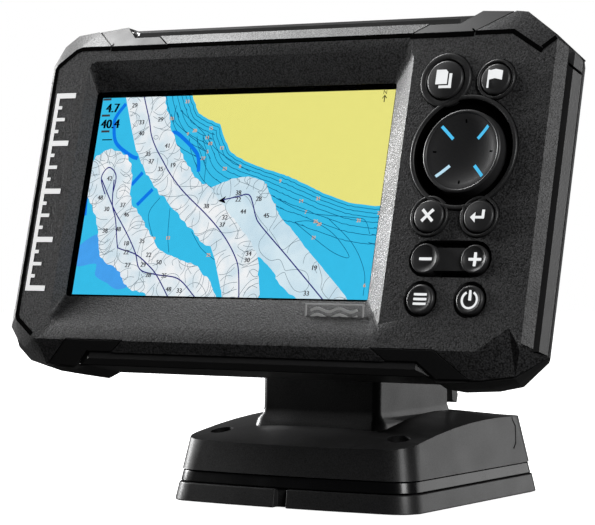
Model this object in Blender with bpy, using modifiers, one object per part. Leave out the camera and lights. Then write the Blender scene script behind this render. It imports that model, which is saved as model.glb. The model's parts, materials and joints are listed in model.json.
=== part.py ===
"""A five-inch chartplotter display on a tilting stand.

Units: dimensions below are millimetres, and MM turns them into Blender's metres.
World frame: origin at the centre of the stand's underside, +X to the object's right, the screen
faces -Y, +Z up. The display is modelled in its own frame, seen from the front: x to the right,
y into the case from the front face, z up along the face. The whole display leans back by LEAN.
"""

import math

import bmesh
import bpy
from mathutils import Matrix, Vector

MM = 0.001
GAP = 0.3
SHARP_EDGE = math.radians(32)

# Stand
BASE_HALF_X = 44.0
BASE_HALF_Y = 45.0
BASE_BOW = 1.7
BASE_CORNER = 8.4
BASE_TAPER = 0.177
PLATE_TOP = 5.7
BAND_TOP = 9.4
BAND_RECESS = 0.4
COVER_FOOT = 9.7
ROOF_TOP = 24.55
ROOF_CREST_Y = 20.0
ROOF_FALL = 0.0015
DOME_RISE = 3.6
DOME_HALF = (40.0, 45.0)
STAND_SCREWS = ((-32.0, -30.5), (32.0, -30.5), (-32.0, 31.0), (32.0, 31.0))
SCREW_HOLE = 1.9
SCREW_SEAT = 16.6
SCREW_SEAT_RADIUS = 3.7
POST_HALF_X = 21.2
POST_FRONT = -24.2
POST_REAR = 21.9
POST_CORNER = 2.2
POST_NECK_X = 20.35

# Tilt hinge
HINGE_Y = 0.0
HINGE_Z = 85.0
LEAN = 15.16
BARREL_RADIUS = 11.0
BOLT_RADIUS = 3.0
DRUM_RADIUS = 9.0
DRUM_HALF_X = 8.4

# Tilt lock
LEVER_PIN_Y = 25.5
LEVER_PIN_Z = 42.0
ROD_RADIUS = 2.8
ROOF_LOW = 64.0
SLOT_FLOOR = 67.0

# Display: the front face's centre, measured from the hinge in the display's own frame
FACE_FROM_HINGE = (0.0, -52.6, -2.06)
FACE_Z = 48.0
CHAMFER_DEPTH = 2.2
CORNER_DEPTH = 5.1
CORNER_BACK = 5.8
CORNER_HALF_Z = 56.2
CORNER_SLOPE = math.atan2(CORNER_HALF_Z - FACE_Z, CORNER_DEPTH)
CREST_START = 67.0
UPPER_CREST = (56.2, 0.12)
LOWER_CREST = (55.5, 0.04)
INSERT_STEM = 2.05
INSERT_REACH = 5.0
STRIP_FRONT = 3.1
STRIP_BACK = 6.9
SKIRT_X = 90.4
SKIRT_Z = 49.2
PLATE_THICK = 2.5
COVER_BACK = 4.2
CASE_LEFT = 94.4
CASE_RIGHT = 95.8
CASE_Z = 54.7
CASE_BACK = 28.0

# Screen
SCREEN_X = -19.0
SLOPE_OUTER = (-76.5, 43.3, -43.5, 43.5)
SLOPE_INNER = (-74.3, 36.0, -33.2, 34.0)
SLOPE_DEPTH = 3.75

# Keypad: name, x, z, cap radius, crown height, hollow depth of the cap's middle
BUTTONS = (
    ("button_pages", 54.9, 32.9, 5.9, 1.5, -0.45),
    ("button_waypoint", 71.45, 32.7, 4.7, 1.3, -0.4),
    ("button_exit", 55.3, -8.4, 4.85, 1.3, -0.4),
    ("button_enter", 71.6, -8.5, 4.8, 1.3, -0.4),
    ("button_menu", 55.6, -33.0, 4.45, 0.6, 0.7),
    ("button_power", 71.7, -33.0, 4.35, 0.6, 0.7),
)
RECESSED = {"button_menu": 5.5, "button_power": 5.45}
TRIM_RIMS = (
    (54.9, 32.9, 8.3, 6.3),
    (71.45, 32.7, 6.1, 5.1),
    (55.3, -8.4, 6.1, 5.25),
    (71.6, -8.5, 6.1, 5.2),
)
PAD_X, PAD_Z = 63.7, 10.9
PAD_RADIUS = 12.75
PAD_RECESS = 16.0
PAD_RING = 17.4
PAD_PIVOT = 4.1
ZOOM_X, ZOOM_Z = 63.65, -21.0
ZOOM_REACH = 8.05
ZOOM_PIVOT = 4.3
FLANGE = (2.8, 3.6)
STEM_END = 7.2
MAT = (6.6, 7.4)
KEY_BOARD = (8.4, 9.8)
KEYPAD_BOX = (47.2, 79.2, -40.5, 41.6)

# Cradle and the back
CRADLE_HALF_X = 26.0
CRADLE = (28.3, 32.3)
CRADLE_Z = (-22.0, 26.0)
EAR_X = (21.75, 25.5)
LATCH_Z = 22.5
SOCKETS = (("power_socket", 54.0, -24.0), ("sonar_socket", 54.0, 4.0))
CARD_X, CARD_Z = -56.0, 4.0
VENT = (-56.0, -22.0)
CASE_SCREWS = ((-64.0, -42.6), (45.2, -42.6), (-64.0, 42.6), (45.2, 42.6))

FRAMES = {}


# ---------------------------------------------------------------- scene and helpers

def clear_scene():
    for thing in list(bpy.data.objects):
        bpy.data.objects.remove(thing, do_unlink=True)


def collection(name, hidden=False):
    made = bpy.data.collections.new(name)
    bpy.context.scene.collection.children.link(made)
    made.hide_render = hidden
    return made


def material(name, colour, roughness, metallic=0.0, alpha=1.0):
    made = bpy.data.materials.new(name)
    made.use_nodes = True
    shader = made.node_tree.nodes["Principled BSDF"]
    shader.inputs["Base Color"].default_value = (*colour, 1.0)
    shader.inputs["Roughness"].default_value = roughness
    shader.inputs["Metallic"].default_value = metallic
    shader.inputs["Alpha"].default_value = alpha
    return made


def empty(name, location, parent=None, lean=0.0):
    made = bpy.data.objects.new(name, None)
    made.location = Vector(location) * MM
    made.rotation_euler.x = -math.radians(lean)
    made.parent = parent
    PARTS.objects.link(made)
    FRAMES[name] = made
    return made


def place(name, bm, finish=None, frame=None, location=(0, 0, 0)):
    """The bmesh, drawn in millimetres about location, becomes the object of this name."""
    bmesh.ops.recalc_face_normals(bm, faces=bm.faces)
    bmesh.ops.scale(bm, vec=(MM, MM, MM), verts=bm.verts)
    mesh = bpy.data.meshes.new(name)
    bm.to_mesh(mesh)
    bm.free()
    made = bpy.data.objects.new(name, mesh)
    made.location = Vector(location) * MM
    made.parent = FRAMES.get(frame)
    if finish is None:
        made.hide_render = True
        made.display_type = "WIRE"
        CUTTERS.objects.link(made)
    else:
        mesh.materials.append(finish)
        PARTS.objects.link(made)
        mesh.shade_smooth()
        mesh.set_sharp_from_angle(angle=SHARP_EDGE)
    return made


def combine(target, others, operation="DIFFERENCE"):
    """A Boolean of the target with each of the other objects, which become hidden helpers."""
    for other in others:
        if other.name in PARTS.objects:
            PARTS.objects.unlink(other)
            CUTTERS.objects.link(other)
            other.hide_render = True
            other.display_type = "WIRE"
    if len(others) == 1:
        modifier = target.modifiers.new(operation.lower(), "BOOLEAN")
        modifier.object = others[0]
    else:
        group = bpy.data.collections.new(f"{target.name}_{operation.lower()}")
        for other in others:
            group.objects.link(other)
        modifier = target.modifiers.new(operation.lower(), "BOOLEAN")
        modifier.operand_type = "COLLECTION"
        modifier.collection = group
    modifier.operation = operation
    modifier.solver = "EXACT"
    return target


def box(x, y, z):
    """A bmesh box between the pairs of limits along each axis."""
    bm = bmesh.new()
    bmesh.ops.create_cube(bm, size=1.0)
    size = Vector((x[1] - x[0], y[1] - y[0], z[1] - z[0]))
    middle = Vector((x[0] + x[1], y[0] + y[1], z[0] + z[1])) / 2
    bmesh.ops.scale(bm, vec=size, verts=bm.verts)
    bmesh.ops.translate(bm, vec=middle, verts=bm.verts)
    return bm


def rod(axis, centre, span, radius, sides=24, end_radius=None):
    """A bmesh cylinder, or cone, along axis 0, 1 or 2, with centre in the other two axes."""
    bm = bmesh.new()
    far = radius if end_radius is None else end_radius
    length = span[1] - span[0]
    bmesh.ops.create_cone(bm, cap_ends=True, segments=sides, radius1=radius, radius2=far, depth=length)
    if axis == 0:
        bmesh.ops.rotate(bm, matrix=Matrix.Rotation(math.pi / 2, 3, "Y"), verts=bm.verts)
    elif axis == 1:
        bmesh.ops.rotate(bm, matrix=Matrix.Rotation(-math.pi / 2, 3, "X"), verts=bm.verts)
    middle = list(centre)
    middle.insert(axis, (span[0] + span[1]) / 2)
    bmesh.ops.translate(bm, vec=middle, verts=bm.verts)
    return bm


def loft(rings):
    """A closed bmesh skin through rings of equal length, with flat ends."""
    bm = bmesh.new()
    rows = [[bm.verts.new(point) for point in ring] for ring in rings]
    count = len(rows[0])
    for near, far in zip(rows, rows[1:]):
        for i in range(count):
            bm.faces.new((near[i], near[(i + 1) % count], far[(i + 1) % count], far[i]))
    bm.faces.new(rows[0])
    bm.faces.new(rows[-1])
    bmesh.ops.connect_verts_nonplanar(bm, angle_limit=0.001, faces=bm.faces)
    return bm


def prism(outline, span, axis=1):
    """An outline in the two other axes, extruded along axis over span."""
    rings = []
    for level in span:
        ring = []
        for pair in outline:
            point = list(pair)
            point.insert(axis, level)
            ring.append(point)
        rings.append(ring)
    return loft(rings)


def rounded(x, y, radius, steps=4):
    """The outline of a rectangle between the limits x and y with round corners."""
    points = []
    corners = ((x[1], y[1], 0), (x[0], y[1], 90), (x[0], y[0], 180), (x[1], y[0], 270))
    for cx, cy, start in corners:
        mx = cx - math.copysign(radius, cx - sum(x) / 2)
        my = cy - math.copysign(radius, cy - sum(y) / 2)
        for i in range(steps + 1):
            angle = math.radians(start + 90 * i / steps)
            points.append((mx + radius * math.cos(angle), my + radius * math.sin(angle)))
    return points


def turned(name, profile, finish, frame, location, sides=20):
    """A profile of (radius, depth) points turned about the local Y axis by a Screw modifier."""
    bm = bmesh.new()
    points = [bm.verts.new((radius, depth, 0.0)) for radius, depth in profile]
    for near, far in zip(points, points[1:]):
        bm.edges.new((near, far))
    bmesh.ops.scale(bm, vec=(MM, MM, MM), verts=bm.verts)
    mesh = bpy.data.meshes.new(name)
    bm.to_mesh(mesh)
    bm.free()
    made = bpy.data.objects.new(name, mesh)
    made.location = Vector(location) * MM
    made.parent = FRAMES[frame]
    mesh.materials.append(finish)
    PARTS.objects.link(made)
    screw = made.modifiers.new("turn", "SCREW")
    screw.axis = "Y"
    screw.steps = sides
    screw.render_steps = sides
    screw.use_merge_vertices = True
    screw.merge_threshold = 0.000001
    screw.use_smooth_shade = True
    return made


# ---------------------------------------------------------------- stand

def base_ring(z, inset=0.0):
    """The stand's tapered outline at height z; its front and rear sides bow outwards."""
    half_x = BASE_HALF_X - BASE_TAPER * z - inset
    half_y = BASE_HALF_Y - BASE_TAPER * z - inset
    corners = rounded((-half_x, half_x), (-half_y, half_y), BASE_CORNER - inset, steps=5)
    outline = []
    for before, point in zip(corners[-1:] + corners[:-1], corners):
        if before[1] == point[1]:
            for share in (0.25, 0.5, 0.75):
                bow = 4.0 * share * (1.0 - share) * math.copysign(BASE_BOW, point[1])
                outline.append((before[0] + (point[0] - before[0]) * share, point[1] + bow))
        outline.append(point)
    return [(x, y, z) for x, y in outline]


def stand_screw_holes(low, high, radius):
    return [place("stand_hole", rod(2, spot, (low, high), radius, 12)) for spot in STAND_SCREWS]


def make_base_plate(finish):
    plate = place("base_plate", loft([base_ring(0.0), base_ring(PLATE_TOP)]), finish)
    notch = place("front_notch", box((-2.9, 1.4), (-60.0, -44.0), (-1.0, PLATE_TOP + 1)))
    cable_way = place("cable_way", rod(2, (0, 18), (-1, PLATE_TOP + 1), 7, 20))
    combine(plate, [notch, cable_way] + stand_screw_holes(-1, PLATE_TOP + 1, SCREW_HOLE))


def make_base_band(finish):
    low, high = PLATE_TOP + GAP, BAND_TOP
    band = place("base_band", loft([base_ring(low, BAND_RECESS), base_ring(high, BAND_RECESS)]), finish)
    middle = place("band_middle", box((-26, 26), (-24, 24), (low - 1, high + 1)))
    combine(band, [middle] + stand_screw_holes(low - 1, high + 1, SCREW_HOLE))


def roof_height(x, y):
    """The cover's roof: it rises from the front to a crest behind the middle, and domes towards the post."""
    across = max(0.0, 1.0 - (x / DOME_HALF[0]) ** 2)
    along = max(0.0, 1.0 - (y / DOME_HALF[1]) ** 2)
    return ROOF_TOP - ROOF_FALL * (y - ROOF_CREST_Y) ** 2 + DOME_RISE * across * along


def roof_block(half_x=52.0, half_y=54.0, floor=4.0, steps=10):
    """A solid whose upper side is the roof."""
    bm = bmesh.new()
    rows = []
    for j in range(steps + 1):
        y = half_y * (2.0 * j / steps - 1.0)
        across = [half_x * (2.0 * i / steps - 1.0) for i in range(steps + 1)]
        rows.append([bm.verts.new((x, y, roof_height(x, y))) for x in across])
    for near, far in zip(rows, rows[1:]):
        for i in range(steps):
            bm.faces.new((near[i], near[i + 1], far[i + 1]))
            bm.faces.new((near[i], far[i + 1], far[i]))
    edge = rows[0] + [row[-1] for row in rows[1:-1]] + rows[-1][::-1] + [row[0] for row in rows[-2:0:-1]]
    foot = [bm.verts.new((vert.co.x, vert.co.y, floor)) for vert in edge]
    for i, vert in enumerate(edge):
        after = (i + 1) % len(edge)
        bm.faces.new((vert, edge[after], foot[after], foot[i]))
    bm.faces.new(foot)
    return bm


def post_ring(z, front, rear, half_x, corner=POST_CORNER):
    return [(x, y, z) for x, y in rounded((-half_x, half_x), (front, rear), corner)]


def make_stand_cover(finish):
    cover = place("stand_cover", loft([base_ring(COVER_FOOT), base_ring(32.0)]), finish)
    combine(cover, [place("roof", roof_block())], "INTERSECT")
    post = place("post", loft([
        post_ring(16.0, POST_FRONT - 4.4, POST_REAR + 4.4, POST_HALF_X + 4.4, 5.0),
        post_ring(25.2, POST_FRONT - 1.9, POST_REAR + 1.9, POST_HALF_X + 1.9, 3.6),
        post_ring(26.6, POST_FRONT - 0.6, POST_REAR + 0.6, POST_HALF_X + 0.6, 2.6),
        post_ring(28.6, POST_FRONT, POST_REAR, POST_HALF_X),
        post_ring(48.0, POST_FRONT + 0.4, POST_REAR, POST_HALF_X),
        post_ring(ROOF_LOW, -16.5, 15.5, POST_NECK_X),
        post_ring(HINGE_Z, -BARREL_RADIUS, BARREL_RADIUS, POST_NECK_X, 1.2),
    ]))
    barrel = place("barrel", rod(0, (HINGE_Y, HINGE_Z), (-POST_NECK_X, POST_NECK_X), BARREL_RADIUS, 28))
    lug_outline = [(POST_REAR - 2, 36.5), (LEVER_PIN_Y + 1.4, 37.5)]
    for degrees in (-40, 0, 45, 90):
        a = math.radians(degrees)
        lug_outline.append((LEVER_PIN_Y + 3.0 * math.cos(a), LEVER_PIN_Z + 3.0 * math.sin(a)))
    lug_outline.append((POST_REAR - 2, 47.5))
    lugs = [place("lug", prism(lug_outline, span, axis=0)) for span in ((-13.0, -10.0), (10.0, 13.0))]
    combine(cover, [post, barrel] + lugs, "UNION")
    inside = [
        place("base_hollow", box((-26, 26), (-24, 24), (COVER_FOOT - 1, 17.0))),
        place("post_hollow", box((-15, 15), (-16, 15), (16, 48))),
        place("spring_chamber", rod(2, (0, 0), (51, ROOF_LOW), 8.2, 28)),
        place("rod_way", rod(2, (0, 0), (40, 90), ROD_RADIUS + 0.6, 20)),
        place("drum_slot", box((-DRUM_HALF_X - 0.4, DRUM_HALF_X + 0.4), (-20, 20), (SLOT_FLOOR, 120))),
        place("bolt_bore", rod(0, (HINGE_Y, HINGE_Z), (-40, 40), BOLT_RADIUS + 0.4, 24)),
        place("lever_pin_bore", rod(0, (LEVER_PIN_Y, LEVER_PIN_Z), (-40, 40), 1.6, 12)),
        place("finger_window", box((-3.4, 3.4), (10, 40), (33.5, 46))),
    ]
    slit = [(29.2, 27.0), (29.2, 23.8), (30.7, 21.4), (29.3, 16.4), (27.3, 14.7),
            (27.7, 14.2), (29.9, 16.0), (31.4, 21.4), (29.9, 23.8), (29.9, 27.0)]
    for side in (-1, 1):
        wall = side * (BASE_HALF_X - BASE_TAPER * 20)
        span = sorted((wall - side * 0.8, wall + side * 6))
        inside.append(place("side_slit", prism(slit, span, axis=0)))
    holes = stand_screw_holes(5, 34, SCREW_HOLE) + stand_screw_holes(SCREW_SEAT, 34, SCREW_SEAT_RADIUS)
    combine(cover, inside + holes)


def make_stand_screws(finish):
    for number, (x, y) in enumerate(STAND_SCREWS, 1):
        spot = (x, y, 0)
        head = rod(2, (0, 0), (SCREW_SEAT + GAP, SCREW_SEAT + 2.4), 3.2, 20)
        screw = place(f"stand_screw_{number}", head, finish, location=spot)
        shank = place("shank", rod(2, (0, 0), (1.5, SCREW_SEAT + 1), 1.5, 12), location=spot)
        combine(screw, [shank], "UNION")
        slots = []
        for half_x, half_y in ((2.0, 0.4), (0.4, 2.0)):
            cut = box((-half_x, half_x), (-half_y, half_y), (SCREW_SEAT + 1.4, SCREW_SEAT + 4))
            slots.append(place("drive", cut, location=spot))
        combine(screw, slots)


# ---------------------------------------------------------------- tilt lock

def make_tilt_lock(plastic, steel, spring_steel):
    empty("lever_axis", (0, LEVER_PIN_Y, LEVER_PIN_Z))
    lever = place("lock_lever", rod(0, (0, 0), (-9.6, 9.6), 3.0, 20), plastic, "lever_axis")
    arm = [(-0.6, -1.8), (2.8, -0.6), (2.2, -6.5), (3.6, -11.2), (2.8, -13.6), (-0.2, -12.6), (-0.6, -7.0)]
    pieces = [
        place("lever_arm", prism(arm, (-9.6, 9.6), axis=0), frame="lever_axis"),
        place("lever_tab", prism(arm[2:], (-20.4, 20.4), axis=0), frame="lever_axis"),
        place("lever_finger", box((-2.0, 2.0), (-LEVER_PIN_Y - 3.2, 0), (-1, 1)), frame="lever_axis"),
    ]
    combine(lever, pieces, "UNION")
    combine(lever, [place("lever_bore", rod(0, (0, 0), (-12, 12), 1.6, 12), frame="lever_axis")])
    place("lever_pin", rod(0, (LEVER_PIN_Y, LEVER_PIN_Z), (-13.2, 13.2), 1.25, 12), steel)

    brake = place("brake_rod", rod(2, (0, 0), (43, 74), ROD_RADIUS, 20), plastic)
    shoe = place("shoe", box((-4, 4), (-4.4, 4.4), (72.6, HINGE_Z - DRUM_RADIUS - 0.35)))
    flange = place("flange", rod(2, (0, 0), (60.6, 62.4), 6.4, 20))
    block = place("block", box((-5.5, 5.5), (-4, 4), (36.5, 46.5)))
    combine(brake, [shoe, flange, block], "UNION")
    combine(brake, [place("rod_window", box((-2.6, 2.6), (-10, 10), (39.6, 44.4)))])

    turns, per_turn, wire = 3.0, 10, 0.5
    points = []
    count = int(turns * per_turn)
    for i in range(count + 1):
        angle = 2 * math.pi * i / per_turn
        points.append((4.9 * math.cos(angle), 4.9 * math.sin(angle), 51.3 + wire + 2.6 * i / count))
    curve = bpy.data.curves.new("rod_spring", "CURVE")
    curve.dimensions = "3D"
    curve.bevel_depth = wire * MM
    curve.bevel_resolution = 1
    curve.use_fill_caps = True
    line = curve.splines.new("POLY")
    line.points.add(count)
    for spot, point in zip(line.points, points):
        spot.co = (*[c * MM for c in point], 1.0)
    spring = bpy.data.objects.new("rod_spring", curve)
    curve.materials.append(spring_steel)
    PARTS.objects.link(spring)


# ---------------------------------------------------------------- tilt hinge and cradle

def make_hinge(steel, plastic):
    bolt = place("tilt_bolt", rod(0, (0, 0), (-30.0, 26.5), BOLT_RADIUS, 24), steel, "tilt_axis")
    combine(bolt, [place("bolt_head", rod(0, (0, 0), (25.8, 29.8), 5.6, 6), frame="tilt_axis")], "UNION")
    nut = place("tilt_nut", rod(0, (0, 0), (-29.2, -25.8), 5.6, 6), steel, "tilt_axis")
    combine(nut, [place("nut_bore", rod(0, (0, 0), (-32, -20), BOLT_RADIUS + GAP, 20), frame="tilt_axis")])
    inner, outer = POST_NECK_X + GAP, EAR_X[0] - GAP
    for side, span in (("left", (-outer, -inner)), ("right", (inner, outer))):
        name = f"friction_washer_{side}"
        washer = place(name, rod(0, (0, 0), span, 9.5, 28), plastic, "tilt_axis")
        bore = rod(0, (0, 0), (span[0] - 1, span[1] + 1), BOLT_RADIUS + GAP, 20)
        combine(washer, [place("washer_bore", bore, frame="tilt_axis")])
    roller = rod(0, (0, 0), (-DRUM_HALF_X, DRUM_HALF_X), DRUM_RADIUS, 28)
    drum = place("brake_drum", roller, steel, "tilt_axis")
    bore = rod(0, (0, 0), (-12, 12), BOLT_RADIUS + GAP, 20)
    combine(drum, [place("drum_bore", bore, frame="tilt_axis")])


def make_cradle(plastic):
    hinge_depth, hinge_z = -FACE_FROM_HINGE[1], -FACE_FROM_HINGE[2]
    plate = box((-CRADLE_HALF_X, CRADLE_HALF_X), CRADLE, CRADLE_Z)
    cradle = place("cradle", plate, plastic, "display_frame")
    ear = [(CRADLE[1] - 1, 20.0)]
    for degrees in range(75, -106, -20):
        a = math.radians(degrees)
        ear.append((hinge_depth + 10.5 * math.cos(a), hinge_z + 10.5 * math.sin(a)))
    ear.append((CRADLE[1] - 1, -18.0))
    added = []
    for side in (-1, 1):
        span = sorted((side * EAR_X[0], side * EAR_X[1]))
        added.append(place("ear", prism(ear, span, axis=0), frame="display_frame"))
        lug = box(sorted((side * 9.0, side * 12.0)), (CRADLE[1] - 1, 39.0), (19.0, 26.0))
        added.append(place("latch_lug", lug, frame="display_frame"))
    combine(cradle, added, "UNION")
    bore = rod(0, (hinge_depth, hinge_z), (-40, 40), BOLT_RADIUS + GAP, 20)
    combine(cradle, [
        place("ear_bore", bore, frame="display_frame"),
        place("tongue_window", box((-7, 7), (20, 60), (19.4, 40)), frame="display_frame"),
    ])
    empty("latch_axis", (0, CRADLE[1], LATCH_Z), FRAMES["display_frame"])
    latch = place("cradle_latch", box((-6.2, 6.2), (-5.9, 5.0), (-1.1, 1.1)), plastic, "latch_axis")
    handle = place("latch_handle", box((-8.6, 8.6), (3.4, 6.4), (-2.6, 11.0)), frame="latch_axis")
    combine(latch, [handle], "UNION")


# ---------------------------------------------------------------- case

def mirror_z(corner):
    return [(x, -z) for x, z in reversed(corner)]


def case_ring(depth, left, right, low_left=None, low_right=None):
    """One outline of the case from its corners' points, given for the upper half of the case.

    The lower corners mirror the upper ones unless they are given as well.
    """
    outline = left + right + mirror_z(low_right or right) + mirror_z(low_left or left)
    return [(x, depth, z) for x, z in outline]


def crest(x, upper):
    """How far the raised corner stands from the middle at x, at the chamfer's outer edge."""
    height, fall = UPPER_CREST if upper else LOWER_CREST
    return height - fall * max(0.0, abs(x) - CREST_START)


def front_outer_rings():
    face_left = [(-89.6, 40.8), (-88.8, 42.3), (-82.4, 47.2), (-80.0, FACE_Z), (-66.0, FACE_Z)]
    face_right = [(62.0, FACE_Z), (75.1, FACE_Z), (85.4, 41.6), (89.4, 44.6)]
    face_low_right = [(62.0, FACE_Z), (75.5, FACE_Z), (85.3, 40.8), (89.6, 45.1)]
    rim_left = [(-94.4, 43.8), (-91.0, 50.2), (-86.2, 53.8)]
    rim_low_left = [(-94.5, 43.4), (-91.0, 47.7), (-86.6, 51.0)]
    rim_right = [(86.3, 47.9), (96.3, 39.6)]
    rim_low_right = [(86.5, 53.6), (96.4, 47.8)]
    upper_left = rim_left + [(x, crest(x, True)) for x in (-78.2, -CREST_START)]
    lower_left = rim_low_left + [(x, crest(x, False)) for x in (-78.2, -CREST_START)]
    upper_right = [(x, crest(x, True)) for x in (CREST_START, 76.3)] + rim_right
    lower_right = [(x, crest(x, False)) for x in (CREST_START, 76.3)] + rim_low_right
    return [
        case_ring(0.0, face_left, face_right, low_right=face_low_right),
        case_ring(CORNER_DEPTH, upper_left, upper_right, lower_left, lower_right),
        case_ring(CORNER_BACK, upper_left, upper_right, lower_left, lower_right),
    ]


def step_x(side, depth):
    """Where the raised corners' slanted step stands at this depth, on the left or right side."""
    start = -61.2 if side < 0 else 55.6
    return start + side * 1.8 * (depth - CHAMFER_DEPTH)


def side_strip(section, side, ease=0.0):
    """A strip along the left or right edge; section is in depth and distance from the middle."""
    rings = []
    for way in (-1, 1):
        rings.append([(side * x, depth, way * (strip_end(side, way, depth) - ease)) for depth, x in section])
    return loft(rings)


def strip_end(side, way, depth):
    """How far the side strips reach up or down; the right-hand one ends on slants under the corners."""
    if side < 0:
        return 37.8
    if way > 0:
        return 42.5 - 0.9 * (depth - CHAMFER_DEPTH)
    return 46.9 + 0.3 * (depth - CHAMFER_DEPTH)


def edge_strip(section, upper, ease=0.0):
    """A strip along the top or bottom between the two steps; section is in depth and height."""
    rings = []
    for side in (-1, 1):
        sign = 1 if upper else -1
        rings.append([(step_x(side, depth) - side * ease, depth, sign * z) for depth, z in section])
    return loft(rings)


def offset_outline(points, distance):
    """A flat outline moved outwards by distance, its corners kept sharp."""
    area = sum(a[0] * b[1] - b[0] * a[1] for a, b in zip(points, points[1:] + points[:1]))
    sign = math.copysign(1.0, area)
    moved = []
    for before, point, after in zip(points[-1:] + points[:-1], points, points[1:] + points[:1]):
        into = (Vector(point) - Vector(before)).normalized()
        out = (Vector(after) - Vector(point)).normalized()
        normal = (Vector((into.y, -into.x)) + Vector((out.y, -out.x))) * sign
        moved.append(Vector(point) + normal * distance / (1.0 + into.dot(out)))
    return moved


def insert_outline(side, overrun=0.0):
    """A corner insert on the chamfer, as (x, way up the slope): a stem, and a foot at the raised corner.

    overrun carries the foot past the chamfer's outer edge and past the step beside it.
    """
    foot, top = INSERT_STEM / math.cos(CORNER_SLOPE), INSERT_REACH / math.cos(CORNER_SLOPE)
    inner = step_x(side, INSERT_STEM) + side * 2 * GAP
    if side < 0:
        start, tip, heel, end, outer = -68.5, -47.5, -52.0, -66.9, -77.4
    else:
        start, tip, heel, end, outer = 62.0, 41.5, 45.6, 61.3, 71.6
    end += (end - inner) * overrun / (top - foot) - side * overrun
    outer += (outer - start) * overrun / top
    inner -= side * overrun
    top += overrun
    return [(start, 0.0), (tip, 0.0), (heel, foot), (inner, foot), (end, top), (outer, top)]


def insert_solid(side, upper, sink, grow=0.0, overrun=0.0):
    """The insert's outline grown by grow, from one level to another under the chamfer's surface."""
    rings = []
    for level in sink:
        ring = []
        for x, way in offset_outline(insert_outline(side, overrun), grow):
            depth = way * math.cos(CORNER_SLOPE) + level * math.sin(CORNER_SLOPE)
            rise = way * math.sin(CORNER_SLOPE) - level * math.cos(CORNER_SLOPE)
            share = (crest(x, upper) - FACE_Z) / (CORNER_HALF_Z - FACE_Z)
            ring.append((x, depth, (FACE_Z + rise * share) * (1 if upper else -1)))
        rings.append(ring)
    return loft(rings)


def make_front_cover(finish):
    cover = place("front_cover", loft(front_outer_rings()), finish, "display_frame")
    frame = "display_frame"
    slope_outer = [(x, -0.2, z) for x, z in rounded(SLOPE_OUTER[:2], SLOPE_OUTER[2:], 3.5)]
    slope_inner = [(x, SLOPE_DEPTH + 0.2, z) for x, z in rounded(SLOPE_INNER[:2], SLOPE_INNER[2:], 1.2)]
    through = [(x, 8.0, z) for x, z in rounded(SLOPE_INNER[:2], SLOPE_INNER[2:], 1.2)]
    cuts = [
        place("screen_opening", loft([slope_outer, slope_inner, through]), frame=frame),
        place("cover_hollow", box((-88.4, 88.4), (COVER_BACK, 9), (-42, 42)), frame=frame),
        place("cover_hollow_tall", box((-72, 70), (COVER_BACK, 9), (-47, 47)), frame=frame),
        place("keypad_pocket", box(KEYPAD_BOX[:2], (PLATE_THICK, 9), KEYPAD_BOX[2:]), frame=frame),
        place("pad_recess", rod(1, (PAD_X, PAD_Z), (-1, 1.7), PAD_RECESS, 36), frame=frame),
        place("pad_hole", rod(1, (PAD_X, PAD_Z), (-2, 6), PAD_RADIUS + 0.7, 32), frame=frame),
        place("pad_trim_seat", rod(1, (PAD_X, PAD_Z), (-2, 0.9), PAD_RING + GAP, 36), frame=frame),
    ]
    channel = [(CHAMFER_DEPTH, SKIRT_Z), (CHAMFER_DEPTH, 62.0), (9.0, 62.0), (9.0, SKIRT_Z)]
    for upper in (True, False):
        cuts.append(place("channel", edge_strip(channel, upper, ease=-0.3), frame=frame))
    section = [(CHAMFER_DEPTH, SKIRT_X), (CHAMFER_DEPTH, 110.0), (9.0, 110.0), (9.0, SKIRT_X)]
    for side in (-1, 1):
        cuts.append(place("side_channel", side_strip(section, side), frame=frame))
    for side in (-1, 1):
        for upper in (True, False):
            cuts.append(place("insert_seat", insert_solid(side, upper, (-4.0, 1.2), 0.32, 1.5), frame=frame))
    for x, z, outer, _ in TRIM_RIMS:
        cuts.append(place("rim_seat", rod(1, (x, z), (-2, 0.9), outer + GAP, 20), frame=frame))
    for name, x, z, radius, _, _ in BUTTONS:
        cuts.append(place("button_hole", rod(1, (x, z), (-2, 6), radius + 0.35, 20), frame=frame))
        if name in RECESSED:
            cuts.append(place("button_recess", rod(1, (x, z), (-2, 1.7), RECESSED[name], 20), frame=frame))
    cuts.append(place("zoom_opening", prism(pill(5.5), (-2, 6)), frame=frame))
    for x, z in CASE_SCREWS:
        cuts.append(place("screw_pilot", rod(1, (x, z), (2.3, 9), 1.6, 12), frame=frame))
    combine(cover, cuts)


def pill(radius):
    """The zoom key's outline: two half circles joined by straight sides."""
    points = []
    for side, start in ((1, -90), (-1, 90)):
        for i in range(9):
            a = math.radians(start + 22.5 * i)
            points.append((ZOOM_X + side * ZOOM_REACH + radius * math.cos(a), ZOOM_Z + radius * math.sin(a)))
    return points


def make_corner_inserts(finish):
    for name, side, upper in (("top_left", -1, True), ("top_right", 1, True),
                              ("bottom_left", -1, False), ("bottom_right", 1, False)):
        place(f"corner_insert_{name}", insert_solid(side, upper, (0.05, 0.85)), finish, "display_frame")


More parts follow.
